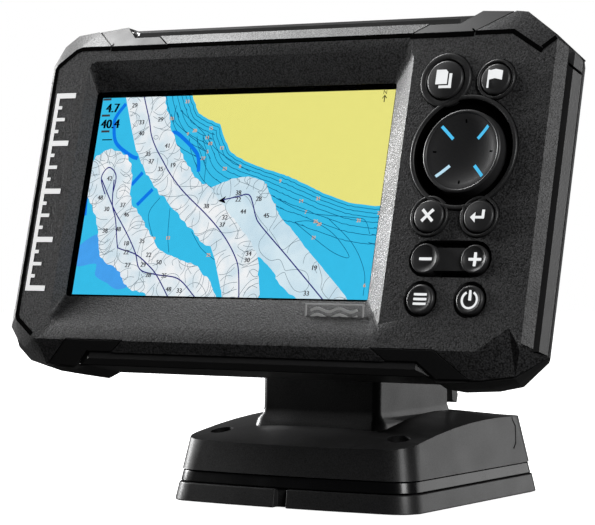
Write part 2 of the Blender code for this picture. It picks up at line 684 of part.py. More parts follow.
def rear_ring(depth, reach, sides, upper, lower):
    """An outline of the rear case, with slanted steps from its raised corners to the middle.

    reach: half width to the left and right. sides: how high the sides reach before the corners, at the
    left, the upper right and the lower right. upper and lower: height of the corners and of the middle.
    """
    left_x, right_x = reach
    left_side, upper_side, lower_side = sides

    def left(raised, middle):
        crest_x = step_x(-1, 5.2) - 0.4
        corner = [(-left_x, left_side)]
        for inset, share in ((0.13, 0.5), (0.33, 0.82), (0.6, 0.93)):
            corner.append((-left_x + inset * (left_x + crest_x), left_side + (raised - left_side) * share))
        return corner + [(crest_x, raised), (crest_x + 4.0, middle)]

    def right(raised, middle, side, shares):
        crest_x = step_x(1, 5.2) + 0.6
        corner = [(crest_x - 4.0, middle), (crest_x, raised)]
        for inset, share in zip((0.57, 0.28), shares):
            corner.append((right_x - inset * (right_x - crest_x), side + (raised - side) * share))
        return corner + [(right_x, side)]

    high = right(*upper, upper_side, (0.93, 0.5))
    low = right(*lower, lower_side, (0.93, 0.76))
    return case_ring(depth, left(*upper), high, left(*lower), low)


def make_rear_cover(finish):
    frame = "display_frame"
    edges = (CASE_LEFT, CASE_RIGHT)
    shell = place("rear_cover", loft([
        rear_ring(CORNER_BACK + GAP, edges, (43.0, 39.6, 47.6), (56.0, CASE_Z), (56.2, CASE_Z)),
        rear_ring(12.0, (92.4, 93.4), (42.0, 39.4, 47.0), (55.4, 54.3), (56.8, 54.4)),
        rear_ring(24.0, (86.4, 87.2), (40.0, 38.6, 45.6), (54.2, 52.8), (55.3, 53.2)),
        rear_ring(CASE_BACK, (80.6, 81.4), (36.0, 35.0, 40.0), (47.6, 46.6), (49.0, 47.4)),
    ]), finish, frame)
    section = [(STRIP_FRONT, SKIRT_Z + 0.7), (STRIP_FRONT, 53.1), (5.3, CASE_Z - 0.05),
               (STRIP_BACK, CASE_Z - 0.5), (STRIP_BACK, SKIRT_Z + 0.7)]
    strips = [place("strip", edge_strip(section, upper, ease=2.0), frame=frame) for upper in (True, False)]
    for side, edge in ((-1, CASE_LEFT), (1, CASE_RIGHT)):
        section = [(STRIP_FRONT, SKIRT_X + 0.7), (STRIP_FRONT, edge - 1.8), (5.2, edge - 0.05),
                   (STRIP_BACK, edge - 0.4), (STRIP_BACK, SKIRT_X + 0.7)]
        strips.append(place("side_strip", side_strip(section, side, ease=0.4), frame=frame))
    combine(shell, strips, "UNION")
    rails = []
    for side in (-1, 1):
        wall = sorted((side * 26.5, side * 30.0))
        lip = sorted((side * 23.6, side * 29.0))
        rails.append(place("rail_wall", box(wall, (CASE_BACK - 1, 35.0), (-22, 27)), frame=frame))
        for span in ((22.2, 26.8), (-21.8, -18.8)):
            rails.append(place("rail_lip", box(lip, (32.8, 34.9), span), frame=frame))
    combine(shell, rails, "UNION")

    cavity = place("case_hollow", loft([
        cavity_ring(1.0, SKIRT_X + 0.7, SKIRT_Z + 0.7, SKIRT_Z + 0.7, 15.0),
        cavity_ring(7.2, SKIRT_X + 0.7, SKIRT_Z + 0.7, SKIRT_Z + 0.7, 15.0),
        cavity_ring(7.21, 88.3, 47.4, 48.6, 12.0),
        cavity_ring(15.0, 84.5, 47.2, 48.8, 11.5),
        cavity_ring(22.6, 80.9, 47.0, 48.8, 11.5),
        cavity_ring(25.5, 77.0, 43.6, 45.2, 11.0),
    ]), frame=frame)
    combine(shell, [cavity])
    bosses = [place("boss", rod(1, spot, (16, 26.6), 4.6, 20), frame=frame) for spot in CASE_SCREWS]
    combine(shell, bosses, "UNION")
    card_way = box((CARD_X - 9, CARD_X + 9), (20, 40), (CARD_Z - 5, CARD_Z + 5))
    card_seat = box((CARD_X - 12.4, CARD_X + 12.4), (26.6, 40), (CARD_Z - 8.4, CARD_Z + 8.4))
    cuts = [
        place("card_way", card_way, frame=frame),
        place("card_door_seat", card_seat, frame=frame),
        place("vent_way", rod(1, VENT, (20, 40), 2.0, 16), frame=frame),
        place("vent_seat", rod(1, VENT, (26.8, 40), 5.3, 24), frame=frame),
        place("hook_slot", box((-7, 7), (26.0, 32.0), (20.6, 24.4)), frame=frame),
    ]
    for _, x, z in SOCKETS:
        cuts.append(place("socket_hole", rod(1, (x, z), (20, 40), 9.3, 24), frame=frame))
    for spot in CASE_SCREWS:
        cuts.append(place("screw_way", rod(1, spot, (6, 40), 1.9, 12), frame=frame))
        cuts.append(place("screw_seat", rod(1, spot, (24.5, 40), 3.6, 20), frame=frame))
    slot = [(92.0, 37.7), (92.4, 38.3), (98.4, 33.9), (98.0, 33.3)]
    cuts.append(place("strip_slot", prism(slot, (2.0, 5.6)), frame=frame))
    combine(shell, cuts)


def cavity_ring(depth, half_x, high, low, cut):
    """The hollow's outline: half width, height above and below the middle, and the corners' cut."""
    def corners(height):
        left = [(-half_x, height - cut), (-half_x + cut, height)]
        right = [(half_x - cut * 1.15, height), (half_x, height - cut * 0.95)]
        return left, right

    upper_left, upper_right = corners(high)
    lower_left, lower_right = corners(low)
    return case_ring(depth, upper_left, upper_right, lower_left, lower_right)


def make_case_seal(finish):
    frame = "display_frame"
    ring = loft([cavity_ring(depth, 90.8, 49.5, 49.5, 15.0) for depth in (6.1, 6.9)])
    seal = place("case_seal", ring, finish, frame)
    middle = loft([cavity_ring(depth, 88.7, 47.4, 47.4, 14.2) for depth in (4.0, 9.0)])
    combine(seal, [place("seal_middle", middle, frame=frame)])


# ---------------------------------------------------------------- screen and electronics

def make_screen(glass, rubber, lcd, metal):
    frame = "display_frame"
    place("lens_window", box((-76.8, 38.4), (4.5, 5.5), (-36.0, 36.8)), glass, frame)
    gasket = place("lens_gasket", box((-79.8, 41.4), (4.5, 5.5), (-39.0, 39.8)), rubber, frame)
    combine(gasket, [place("gasket_middle", box((-77.1, 38.7), (3, 8), (-36.3, 37.1)), frame=frame)])
    place("lcd_panel", box((SCREEN_X - 60.3, SCREEN_X + 60.3), (5.8, 8.8), (-37.9, 37.9)), lcd, frame)
    across = (SCREEN_X - 60.9, SCREEN_X + 60.9)
    chassis = place("lcd_chassis", box(across, (9.1, 10.1), (-40.4, 40.4)), metal, frame)
    lips = []
    for span in ((-40.4, -39.4), (39.4, 40.4)):
        lips.append(place("lip", box(across, (6.0, 10.1), span), frame=frame))
    combine(chassis, lips, "UNION")


def make_boards(board, ceramic, metal, black, rubber):
    frame = "display_frame"
    x0, x1, z0, z1 = KEYPAD_BOX
    keys = place("keypad_board", box((x0 + 0.6, x1 - 0.6), KEY_BOARD, (z0 + 0.6, z1 - 0.6)), board, frame)
    connector = box((58, 70), (KEY_BOARD[1] - 0.2, KEY_BOARD[1] + 1.4), (-4, 4))
    combine(keys, [place("connector", connector, frame=frame)], "UNION")
    mat = place("keypad_mat", box((x0 + 0.6, x1 - 0.6), MAT, (z0 + 0.6, z1 - 0.6)), rubber, frame)
    holes = [place("mat_hole", rod(1, (x, z), (5, 9), 2.8, 10), frame=frame) for _, x, z, _, _, _ in BUTTONS]
    holes.append(place("mat_pad_hole", rod(1, (PAD_X, PAD_Z), (5, 9), 11.5, 24), frame=frame))
    for side in (-1, 1):
        hole = rod(1, (ZOOM_X + side * ZOOM_REACH, ZOOM_Z), (5, 9), 3.0, 10)
        holes.append(place("mat_zoom_hole", hole, frame=frame))
    combine(mat, holes)

    main = place("main_board", box((-76, 66), (13.0, 14.6), (-38, 38)), board, frame)
    reader = box((CARD_X - 7.6, CARD_X + 7.6), (14.2, 23.6), (CARD_Z - 2.6, CARD_Z + 2.6))
    chips = [
        place("chip", box((-34, -18), (14.2, 16.2), (-8, 8)), frame=frame),
        place("chip", box((-8, 2), (14.2, 15.8), (6, 16)), frame=frame),
        place("plug_header", box((40, 62), (14.2, 18.0), (-34, -29)), frame=frame),
        place("card_reader", reader, frame=frame),
    ]
    combine(main, chips, "UNION")
    card_gap = box((CARD_X - 5.9, CARD_X + 5.9), (15.4, 30), (CARD_Z - 0.6, CARD_Z + 0.6))
    combine(main, [place("card_gap", card_gap, frame=frame)])
    can = place("shield_can", box((8, 34), (14.9, 18.4), (-24, -2)), metal, frame)
    combine(can, [place("can_inside", box((8.6, 33.4), (10, 17.8), (-23.4, -2.6)), frame=frame)])
    place("gps_antenna", box((8, 33), (14.9, 18.9), (8, 33)), ceramic, frame)
    place("buzzer", rod(1, (-14, -26), (14.9, 19.0), 5.5, 28), black, frame)


def make_back_fittings(plastic, rubber, steel):
    frame = "display_frame"
    for name, x, z in SOCKETS:
        body = place(name, rod(1, (x, z), (18.4, 34.0), 8.9, 24), plastic, frame)
        flange = place("socket_flange", rod(1, (x, z), (28.4, 30.2), 11.4, 24), frame=frame)
        combine(body, [flange], "UNION")
        combine(body, [place("socket_well", rod(1, (x, z), (22.0, 40), 6.4, 24), frame=frame)])
        pins = []
        count = 4 if name == "power_socket" else 8
        for i in range(count):
            a = 2 * math.pi * i / count + 0.4
            spot = (x + 3.4 * math.cos(a), z + 3.4 * math.sin(a))
            pins.append(place("pin", rod(1, spot, (21.0, 28.0), 0.6, 4), frame=frame))
        combine(body, pins, "UNION")

    empty("card_door_axis", (CARD_X - 11.2, 27.6, CARD_Z), FRAMES["display_frame"])
    door = place("card_door", box((0.0, 23.2), (-0.7, 0.9), (-8.0, 8.0)), rubber, "card_door_axis")
    knuckle = place("door_knuckle", rod(2, (0, 0), (-8.0, 8.0), 0.8, 12), frame="card_door_axis")
    pull = place("door_pull", box((21.0, 23.2), (0.5, 1.7), (-4, 4)), frame="card_door_axis")
    combine(door, [knuckle, pull], "UNION")
    vent = place("vent_plug", rod(1, VENT, (27.1, 28.2), 4.9, 24), rubber, frame)
    combine(vent, [place("vent_stem", rod(1, VENT, (25.0, 27.5), 1.6, 12), frame=frame)], "UNION")
    for number, spot in enumerate(CASE_SCREWS, 1):
        screw = place(f"case_screw_{number}", rod(1, spot, (24.8, 26.9), 3.1, 20), steel, frame)
        shank = place("case_shank", rod(1, spot, (2.8, 25.5), 1.25, 12), frame=frame)
        combine(screw, [shank], "UNION")


# ---------------------------------------------------------------- keypad

def make_keypad_trim(finish):
    frame = "display_frame"
    span = (-0.9, 0.6)
    trim = place("keypad_trim", rod(1, (PAD_X, PAD_Z), span, PAD_RING, 36), finish, frame)
    rims = [place("rim", rod(1, (x, z), span, outer, 20), frame=frame) for x, z, outer, _ in TRIM_RIMS]
    combine(trim, rims, "UNION")
    holes = []
    for x, z, _, inner in TRIM_RIMS:
        holes.append(place("trim_hole", rod(1, (x, z), (-3, 3), inner, 20), frame=frame))
    holes.append(place("trim_hole", rod(1, (PAD_X, PAD_Z), (-3, 3), PAD_RECESS, 36), frame=frame))
    combine(trim, holes)


def make_buttons(finish):
    for name, x, z, radius, crown, hollow in BUTTONS:
        edge = -crown + 0.15
        profile = [
            (0.0, STEM_END), (2.0, STEM_END), (2.0, FLANGE[1]), (radius + 0.9, FLANGE[1]),
            (radius + 0.9, FLANGE[0]), (radius, FLANGE[0]), (radius, edge + 0.5), (radius - 0.5, edge),
            (radius * 0.55, edge + hollow * 0.7), (0.0, edge + hollow),
        ]
        turned(name, profile, finish, "display_frame", (x, 0, z))


def make_zoom_rocker(finish):
    empty("zoom_axis", (ZOOM_X, ZOOM_PIVOT, ZOOM_Z), FRAMES["display_frame"])
    frame = "zoom_axis"

    def local_pill(radius):
        return [(x - ZOOM_X, z - ZOOM_Z) for x, z in pill(radius)]

    rocker = place("zoom_rocker", prism(local_pill(6.2), (-0.2, 0.8)), finish, frame)
    added = [place("web", box((-ZOOM_REACH, ZOOM_REACH), (0.3 - ZOOM_PIVOT, 0.2), (-3.4, 3.4)), frame=frame)]
    for side, radius in ((-1, 4.5), (1, 4.25)):
        spot = (side * ZOOM_REACH, 0.3)
        added.append(place("dome", rod(1, spot, (-0.6 - ZOOM_PIVOT, 0.2), radius, 20), frame=frame))
        stem = rod(1, (side * ZOOM_REACH, 0), (0.2, 7.0 - ZOOM_PIVOT), 2.0, 10)
        added.append(place("stem", stem, frame=frame))
    combine(rocker, added, "UNION")
    bowls = []
    for side, radius in ((-1, 4.5), (1, 4.25)):
        cone = rod(1, (side * ZOOM_REACH, 0.3), (-1.2 - ZOOM_PIVOT, 0.2 - ZOOM_PIVOT), radius - 0.5, 20, 0.6)
        bowls.append(place("bowl", cone, frame=frame))
    combine(rocker, bowls)


def make_direction_pad(finish, hidden):
    empty("pad_axis", (PAD_X, PAD_PIVOT, PAD_Z), FRAMES["display_frame"])
    profile = [
        (0.0, 2.8), (3.2, 2.8), (3.2, 0.4), (14.6, 0.4), (14.6, -0.4), (PAD_RADIUS + 0.05, -0.4),
        (PAD_RADIUS, -5.2), (PAD_RADIUS - 0.25, -5.7), (PAD_RADIUS - 0.8, -5.9), (PAD_RADIUS - 1.3, -5.7),
        (8.0, -4.6), (4.0, -4.0), (0.0, -3.85),
    ]
    turned("direction_pad", profile, finish, "pad_axis", (0, 0, 0), 32)
    ring = place("pad_gimbal", rod(1, (0, 0), (1.4, 2.6), 6.0, 28), hidden, "pad_axis")
    combine(ring, [place("gimbal_bore", rod(1, (0, 0), (0, 5), 4.1, 24), frame="pad_axis")])


# ---------------------------------------------------------------- assembly

clear_scene()
PARTS = collection("chartplotter_display")
CUTTERS = collection("cutters", hidden=True)

CHARCOAL = material("case_plastic", (0.045, 0.046, 0.048), 0.5)
REAR = material("rear_plastic", (0.03, 0.031, 0.033), 0.45)
INSERT = material("insert_plastic", (0.014, 0.014, 0.015), 0.35)
STAND = material("stand_plastic", (0.016, 0.016, 0.017), 0.35)
BAND = material("band_gloss", (0.006, 0.006, 0.007), 0.12)
KEYS = material("key_plastic", (0.03, 0.031, 0.032), 0.4)
RUBBER = material("seal_rubber", (0.01, 0.01, 0.01), 0.8)
GLASS = material("window_glass", (0.8, 0.85, 0.9), 0.05, alpha=0.25)
SCREEN = material("lit_screen", (0.1, 0.55, 0.78), 0.3)
STEEL = material("stainless_steel", (0.55, 0.55, 0.56), 0.3, 1.0)
BOARD = material("circuit_board", (0.02, 0.12, 0.06), 0.5)
CERAMIC = material("antenna_ceramic", (0.55, 0.48, 0.38), 0.6)
TIN = material("tinned_steel", (0.6, 0.6, 0.6), 0.35, 1.0)

empty("tilt_axis", (0, HINGE_Y, HINGE_Z), lean=LEAN)
empty("display_frame", FACE_FROM_HINGE, FRAMES["tilt_axis"])

make_base_plate(STAND)
make_base_band(BAND)
make_stand_cover(STAND)
make_stand_screws(STEEL)
make_tilt_lock(STAND, STEEL, STEEL)
make_hinge(STEEL, RUBBER)
make_cradle(STAND)
make_front_cover(CHARCOAL)
make_corner_inserts(INSERT)
make_rear_cover(REAR)
make_case_seal(RUBBER)
make_screen(GLASS, RUBBER, SCREEN, TIN)
make_boards(BOARD, CERAMIC, TIN, RUBBER, RUBBER)
make_back_fittings(REAR, RUBBER, STEEL)
make_keypad_trim(KEYS)
make_buttons(KEYS)
make_zoom_rocker(KEYS)
make_direction_pad(KEYS, REAR)
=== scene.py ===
"""Looks of the chartplotter display: rounded housings, keypad, lit chart, studio light and camera.

Lengths are millimetres in the code and metres in the scene. The display's own frame is seen from the
front: x to the right, depth into the case from its front face, z up along the face.
"""

import json
import math
import random

import bmesh
import bpy
from mathutils import Matrix, Vector, noise


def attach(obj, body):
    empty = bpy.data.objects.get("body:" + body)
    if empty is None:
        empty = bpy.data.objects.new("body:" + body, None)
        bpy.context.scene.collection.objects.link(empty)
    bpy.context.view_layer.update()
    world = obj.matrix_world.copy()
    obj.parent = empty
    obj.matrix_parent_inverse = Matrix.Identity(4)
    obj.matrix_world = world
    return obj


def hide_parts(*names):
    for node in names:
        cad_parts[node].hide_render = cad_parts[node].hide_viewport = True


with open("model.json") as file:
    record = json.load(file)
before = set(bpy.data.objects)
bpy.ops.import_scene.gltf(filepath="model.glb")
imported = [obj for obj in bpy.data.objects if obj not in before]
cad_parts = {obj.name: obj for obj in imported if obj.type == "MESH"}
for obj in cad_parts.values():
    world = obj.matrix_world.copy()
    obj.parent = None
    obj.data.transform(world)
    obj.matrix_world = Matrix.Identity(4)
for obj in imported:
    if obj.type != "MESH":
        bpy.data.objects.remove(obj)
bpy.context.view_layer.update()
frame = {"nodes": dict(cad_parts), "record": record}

MM = 0.001
LEAN = math.radians(15.16)
HINGE = (0.0, 0.0, 85.0)
FACE_FROM_HINGE = (0.0, -52.6, -2.06)
DISPLAY = (Matrix.Translation(Vector(HINGE)) @ Matrix.Rotation(-LEAN, 4, "X")
           @ Matrix.Translation(Vector(FACE_FROM_HINGE)))
scene = bpy.context.scene


# ---------------------------------------------------------------- materials

SMEARS = 0.04  # how far a surface's roughness wanders each way
GAMMA = 2.2


def new_material(name):
    made = bpy.data.materials.new(name)
    made.use_nodes = True
    return made, made.node_tree.nodes, made.node_tree.links, made.node_tree.nodes["Principled BSDF"]


def noise_node(nodes, links, scale, detail=3.0, stretch=(1.0, 1.0, 1.0)):
    """A noise texture in the piece's own coordinates; scale is in features per metre."""
    where = nodes.new("ShaderNodeTexCoord")
    turn = nodes.new("ShaderNodeMapping")
    turn.inputs["Scale"].default_value = stretch
    made = nodes.new("ShaderNodeTexNoise")
    made.inputs["Scale"].default_value = scale
    made.inputs["Detail"].default_value = detail
    links.new(where.outputs["Object"], turn.inputs["Vector"])
    links.new(turn.outputs["Vector"], made.inputs["Vector"])
    return made


def two_tone(nodes, links, source, dark, light):
    """A colour that goes from dark to light over the middle of a noise."""
    ramp = nodes.new("ShaderNodeValToRGB")
    ramp.color_ramp.elements[0].position = 0.35
    ramp.color_ramp.elements[1].position = 0.65
    ramp.color_ramp.elements[0].color = (*dark, 1.0)
    ramp.color_ramp.elements[1].color = (*light, 1.0)
    links.new(source, ramp.inputs["Fac"])
    return ramp.outputs["Color"]


def spread(nodes, links, source, low, high):
    """A value that goes from low to high over the middle of a noise."""
    span = nodes.new("ShaderNodeMapRange")
    span.inputs["From Min"].default_value = 0.3
    span.inputs["From Max"].default_value = 0.7
    span.inputs["To Min"].default_value = low
    span.inputs["To Max"].default_value = high
    links.new(source, span.inputs["Value"])
    return span.outputs["Result"]


def surface(name, colour, roughness, grain=0.4, speckle=0.12, bump=0.12, specular=0.5, metallic=0.0,
            stretch=(1.0, 1.0, 1.0), glow=0.0):
    """A moulded or metal surface: grain of that size in millimetres, speckle, and uneven sheen."""
    made, nodes, links, shader = new_material(name)
    shader.inputs["Metallic"].default_value = metallic
    shader.inputs["Specular IOR Level"].default_value = specular
    shader.inputs["Emission Color"].default_value = (1.0, 1.0, 1.0, 1.0)
    shader.inputs["Emission Strength"].default_value = glow
    fine = noise_node(nodes, links, 1.0 / (grain * MM), 2.0, stretch)
    broad = noise_node(nodes, links, 90.0, 4.0)
    dark = [c * (1.0 - speckle) for c in colour]
    light = [c * (1.0 + speckle) for c in colour]
    links.new(two_tone(nodes, links, fine.outputs["Fac"], dark, light), shader.inputs["Base Color"])
    links.new(spread(nodes, links, broad.outputs["Fac"], roughness - SMEARS, roughness + SMEARS),
              shader.inputs["Roughness"])
    relief = nodes.new("ShaderNodeBump")
    relief.inputs["Strength"].default_value = bump
    relief.inputs["Distance"].default_value = grain * MM * 0.5
    links.new(fine.outputs["Fac"], relief.inputs["Height"])
    links.new(relief.outputs["Normal"], shader.inputs["Normal"])
    return made


def circuit_board():
    made, nodes, links, shader = new_material("board_mask")
    cells = nodes.new("ShaderNodeTexBrick")
    where = nodes.new("ShaderNodeTexCoord")
    cells.inputs["Scale"].default_value = 160.0
    cells.inputs["Color1"].default_value = (0.006, 0.075, 0.03, 1.0)
    cells.inputs["Color2"].default_value = (0.01, 0.11, 0.045, 1.0)
    cells.inputs["Mortar"].default_value = (0.02, 0.16, 0.07, 1.0)
    links.new(where.outputs["Object"], cells.inputs["Vector"])
    links.new(cells.outputs["Color"], shader.inputs["Base Color"])
    patchy = noise_node(nodes, links, 300.0)
    links.new(spread(nodes, links, patchy.outputs["Fac"], 0.3, 0.5), shader.inputs["Roughness"])
    return made


def glowing(name, rgb, mottle=0.03, shade=None):
    """A lit part of the screen: rgb, 0 to 255, is its colour, and shade that of broad patches in it."""
    made, nodes, links, shader = new_material(name)
    colour = [(c / 255.0) ** GAMMA for c in rgb]
    shader.inputs["Base Color"].default_value = (0.0, 0.0, 0.0, 1.0)
    shader.inputs["Specular IOR Level"].default_value = 0.0
    shader.inputs["Emission Strength"].default_value = 1.0
    patchy = noise_node(nodes, links, 150.0 if shade else 400.0)
    dim = [(c / 255.0) ** GAMMA for c in shade] if shade else [c * (1.0 - mottle) for c in colour]
    bright = [min(1.0, c * (1.0 + mottle)) for c in colour]
    links.new(two_tone(nodes, links, patchy.outputs["Fac"], dim, bright), shader.inputs["Emission Color"])
    links.new(spread(nodes, links, patchy.outputs["Fac"], 0.5, 0.6), shader.inputs["Roughness"])
    return made


def clear_glass():
    made, nodes, links, shader = new_material("clear_window")
    shader.inputs["Transmission Weight"].default_value = 1.0
    shader.inputs["IOR"].default_value = 1.12
    shader.inputs["Base Color"].default_value = (1.0, 1.0, 1.0, 1.0)
    haze = noise_node(nodes, links, 60.0)
    links.new(spread(nodes, links, haze.outputs["Fac"], 0.0, 0.012), shader.inputs["Roughness"])
    return made


CASE = surface("case_grain", (0.034, 0.034, 0.035), 0.48, grain=0.5, speckle=0.95, bump=0.55)
REAR = surface("rear_grain", (0.024, 0.024, 0.0245), 0.4, grain=0.4, speckle=0.15, bump=0.15,
               specular=0.7)
INSERT = surface("insert_satin", (0.016, 0.016, 0.0165), 0.5, grain=0.3, speckle=0.2, bump=0.1,
                 specular=0.36)
STAND = surface("stand_satin", (0.024, 0.024, 0.0245), 0.36, grain=0.35, speckle=0.35, bump=0.16,
                specular=0.3)
# the band's near-black colour, far darker than the stand's, is partly its own and partly painted shade of
# the recess it sits in
BAND_BLACK_WITH_PAINTED_SHADE = surface("band_polish_painted_shade", (0.004, 0.004, 0.0045), 0.26, grain=0.6, speckle=0.1, bump=0.02,
               specular=0.4)
KEYS = surface("key_satin", (0.030, 0.030, 0.031), 0.42, grain=0.3, speckle=0.12, bump=0.1)
RUBBER = surface("rubber_matt", (0.012, 0.012, 0.012), 0.8, grain=0.25, speckle=0.2, bump=0.3)
# near black: real black parts (the screen, its border, marks) and painted shadow (the strip round the face,
# the lining of the pad's recess)
SHADOW = surface("black_and_painted_shadow", (0.001, 0.001, 0.001), 0.9, grain=0.4, specular=0.02)
STEEL = surface("steel_brushed", (0.56, 0.56, 0.57), 0.28, grain=0.2, speckle=0.08, bump=0.1,
                metallic=1.0, stretch=(0.05, 1.0, 1.0))
TIN = surface("tin_sheet", (0.6, 0.6, 0.6), 0.36, grain=0.5, speckle=0.05, bump=0.1, metallic=1.0)
CERAMIC = surface("ceramic_fired", (0.55, 0.48, 0.38), 0.6, grain=0.3, speckle=0.1, bump=0.3)
# white print with white light added on top of its lit colour: painted glow on the printed depth scale
WHITE_PRINT_PAINTED_GLOW = surface("legend_white_painted_glow", (0.80, 0.80, 0.80), 0.5, grain=0.3, speckle=0.05, bump=0.05, glow=0.45)
KEY_LIGHT = glowing("key_backlight", (238, 240, 241), mottle=0.02)
BLUE_MARK = glowing("mark_blue", (82, 190, 238), mottle=0.05)
PALE_MARK = glowing("mark_pale", (186, 224, 242), mottle=0.05)
RIM_SKIN = surface("rim_satin", (0.026, 0.026, 0.0265), 0.4, grain=0.4, speckle=0.3, bump=0.1)
# grey print with a little white light added on top of its lit colour: painted glow on the wave badge
GREY_PRINT_PAINTED_GLOW = surface("legend_grey_painted_glow", (0.42, 0.42, 0.42), 0.5, grain=0.3, speckle=0.05, bump=0.05, glow=0.1)
PAD_SKIN = surface("pad_satin", (0.032, 0.032, 0.033), 0.4, grain=0.3, speckle=0.12, bump=0.06)
BOARD = circuit_board()
GLASS = clear_glass()


# ---------------------------------------------------------------- pieces

SAME_POINT = 0.000003  # metres within which two points of a CAD mesh are one
SHARP_FROM = math.radians(30.0)


def finish_piece(name, bm, body, material, stands_for=()):
    """The bmesh, in millimetres of the display's frame, becomes a piece that rides on a body."""
    bmesh.ops.recalc_face_normals(bm, faces=bm.faces)
    bm.transform(Matrix.Scale(MM, 4) @ DISPLAY)
    mesh = bpy.data.meshes.new(name)
    bm.to_mesh(mesh)
    bm.free()
    made = bpy.data.objects.new(name, mesh)
    mesh.materials.append(material)
    scene.collection.objects.link(made)
    mesh.shade_smooth()
    mesh.set_sharp_from_angle(angle=SHARP_FROM)
    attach(made, body)
    if stands_for:
        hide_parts(*stands_for)


def rounded_copy(node, body, material, width=0.3, angle=24.0, segments=3):
    """The node's own shape with every hard edge rounded, as a moulded or machined piece has it."""
    bm = bmesh.new()
    bm.from_mesh(frame["nodes"][node].data)
    bmesh.ops.remove_doubles(bm, verts=bm.verts, dist=SAME_POINT)
    bmesh.ops.dissolve_limit(bm, angle_limit=0.008, verts=bm.verts, edges=bm.edges)
    bmesh.ops.triangulate(bm, faces=[face for face in bm.faces if len(face.verts) > 4])
    mesh = bpy.data.meshes.new(f"{node}_skin")
    bm.to_mesh(mesh)
    bm.free()
    made = bpy.data.objects.new(f"{node}_skin", mesh)
    mesh.materials.append(material)
    scene.collection.objects.link(made)
    mesh.shade_smooth()
    bevel = made.modifiers.new("rounding", "BEVEL")
    bevel.width = width * MM
    bevel.segments = segments
    bevel.limit_method = "ANGLE"
    bevel.angle_limit = math.radians(angle)
    bevel.use_clamp_overlap = True
    bevel.miter_outer = "MITER_ARC"
    weighted = made.modifiers.new("normals", "WEIGHTED_NORMAL")
    weighted.keep_sharp = True
    weighted.weight = 80
    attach(made, body)
    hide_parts(node)


def turned(bm, profile, x, z, sides=72, ring=False):
    """Adds a profile of (radius, depth) points, turned about the depth axis at x, z.

    A ring's profile is closed; any other starts and ends on the axis.
    """
    rings = []
    for radius, depth in profile:
        if radius < 1e-6:
            rings.append([bm.verts.new((x, depth, z))])
            continue
        circle = []
        for i in range(sides):
            a = 2.0 * math.pi * i / sides
            circle.append(bm.verts.new((x + radius * math.cos(a), depth, z + radius * math.sin(a))))
        rings.append(circle)
    following = rings[1:] + rings[:1] if ring else rings[1:]
    for near, far in zip(rings, following):
        for i in range(sides):
            j = (i + 1) % sides
            corners = [near[i % len(near)], near[j % len(near)], far[j % len(far)], far[i % len(far)]]
            bm.faces.new([v for k, v in enumerate(corners) if v not in corners[:k]])


def arc(centre, radius, start, stop, steps=6):
    """Points of an arc in a profile, angles in degrees."""
    points = []
    for i in range(steps + 1):
        a = math.radians(start + (stop - start) * i / steps)
        points.append((centre[0] + radius * math.cos(a), centre[1] + radius * math.sin(a)))
    return points


def slab(bm, outline, front, back):
    """Adds a flat outline of (x, z) points, extruded in depth."""
    near = [bm.verts.new((x, front, z)) for x, z in outline]
    far = [bm.verts.new((x, back, z)) for x, z in outline]
    bm.faces.new(near)
    bm.faces.new(far[::-1])
    for i in range(len(near)):
        j = (i + 1) % len(near)
        bm.faces.new((near[i], near[j], far[j], far[i]))


def stroke(points, width, closed=False):
    """The outlines, one for each stretch, of a line of that width through points."""
    pieces = []
    after = points[1:] + points[:1] if closed else points[1:]
    for a, b in zip(points, after):
        along = Vector((b[0] - a[0], b[1] - a[1]))
        if along.length < 1e-6:
            continue
        along.normalize()
        side = Vector((-along.y, along.x)) * width / 2
        start, stop = Vector(a) - along * width * 0.5, Vector(b) + along * width * 0.5
        pieces.append([tuple(start + side), tuple(stop + side), tuple(stop - side), tuple(start - side)])
    return pieces


# ---------------------------------------------------------------- housings and stand

# the painted shadow strip along the face's top and left edges: its span, its lift off the face, and where it
# runs
SHADOW_STRIP_SPAN = (-0.1, 1.35)  # from the edge of the face, inwards
SHADOW_STRIP_LIFT = 0.03
SHADOW_STRIP_ABOVE = 36.0
SHADOW_STRIP_LEFT_OF = -70.0


def make_housings():
    rounded_copy("front_cover", "display", CASE, 0.35)
    rounded_copy("rear_cover", "display", REAR, 0.5)
    rounded_copy("stand_cover", "stand", STAND, 0.8, angle=32.0, segments=4)
    rounded_copy("base_plate", "stand", STAND, 0.4)
    rounded_copy("base_band", "stand", BAND_BLACK_WITH_PAINTED_SHADE, 0.3)
    for corner in ("top_left", "top_right", "bottom_left", "bottom_right"):
        rounded_copy(f"corner_insert_{corner}", "display", INSERT, 0.15)
    for node, body in (("cradle", "display"), ("cradle_latch", "latch"), ("lock_lever", "lever")):
        rounded_copy(node, body, STAND, 0.35)
    for node in ("power_socket", "sonar_socket"):
        rounded_copy(node, "display", REAR, 0.2)
    rounded_copy("card_door", "card_door", RUBBER, 0.25)


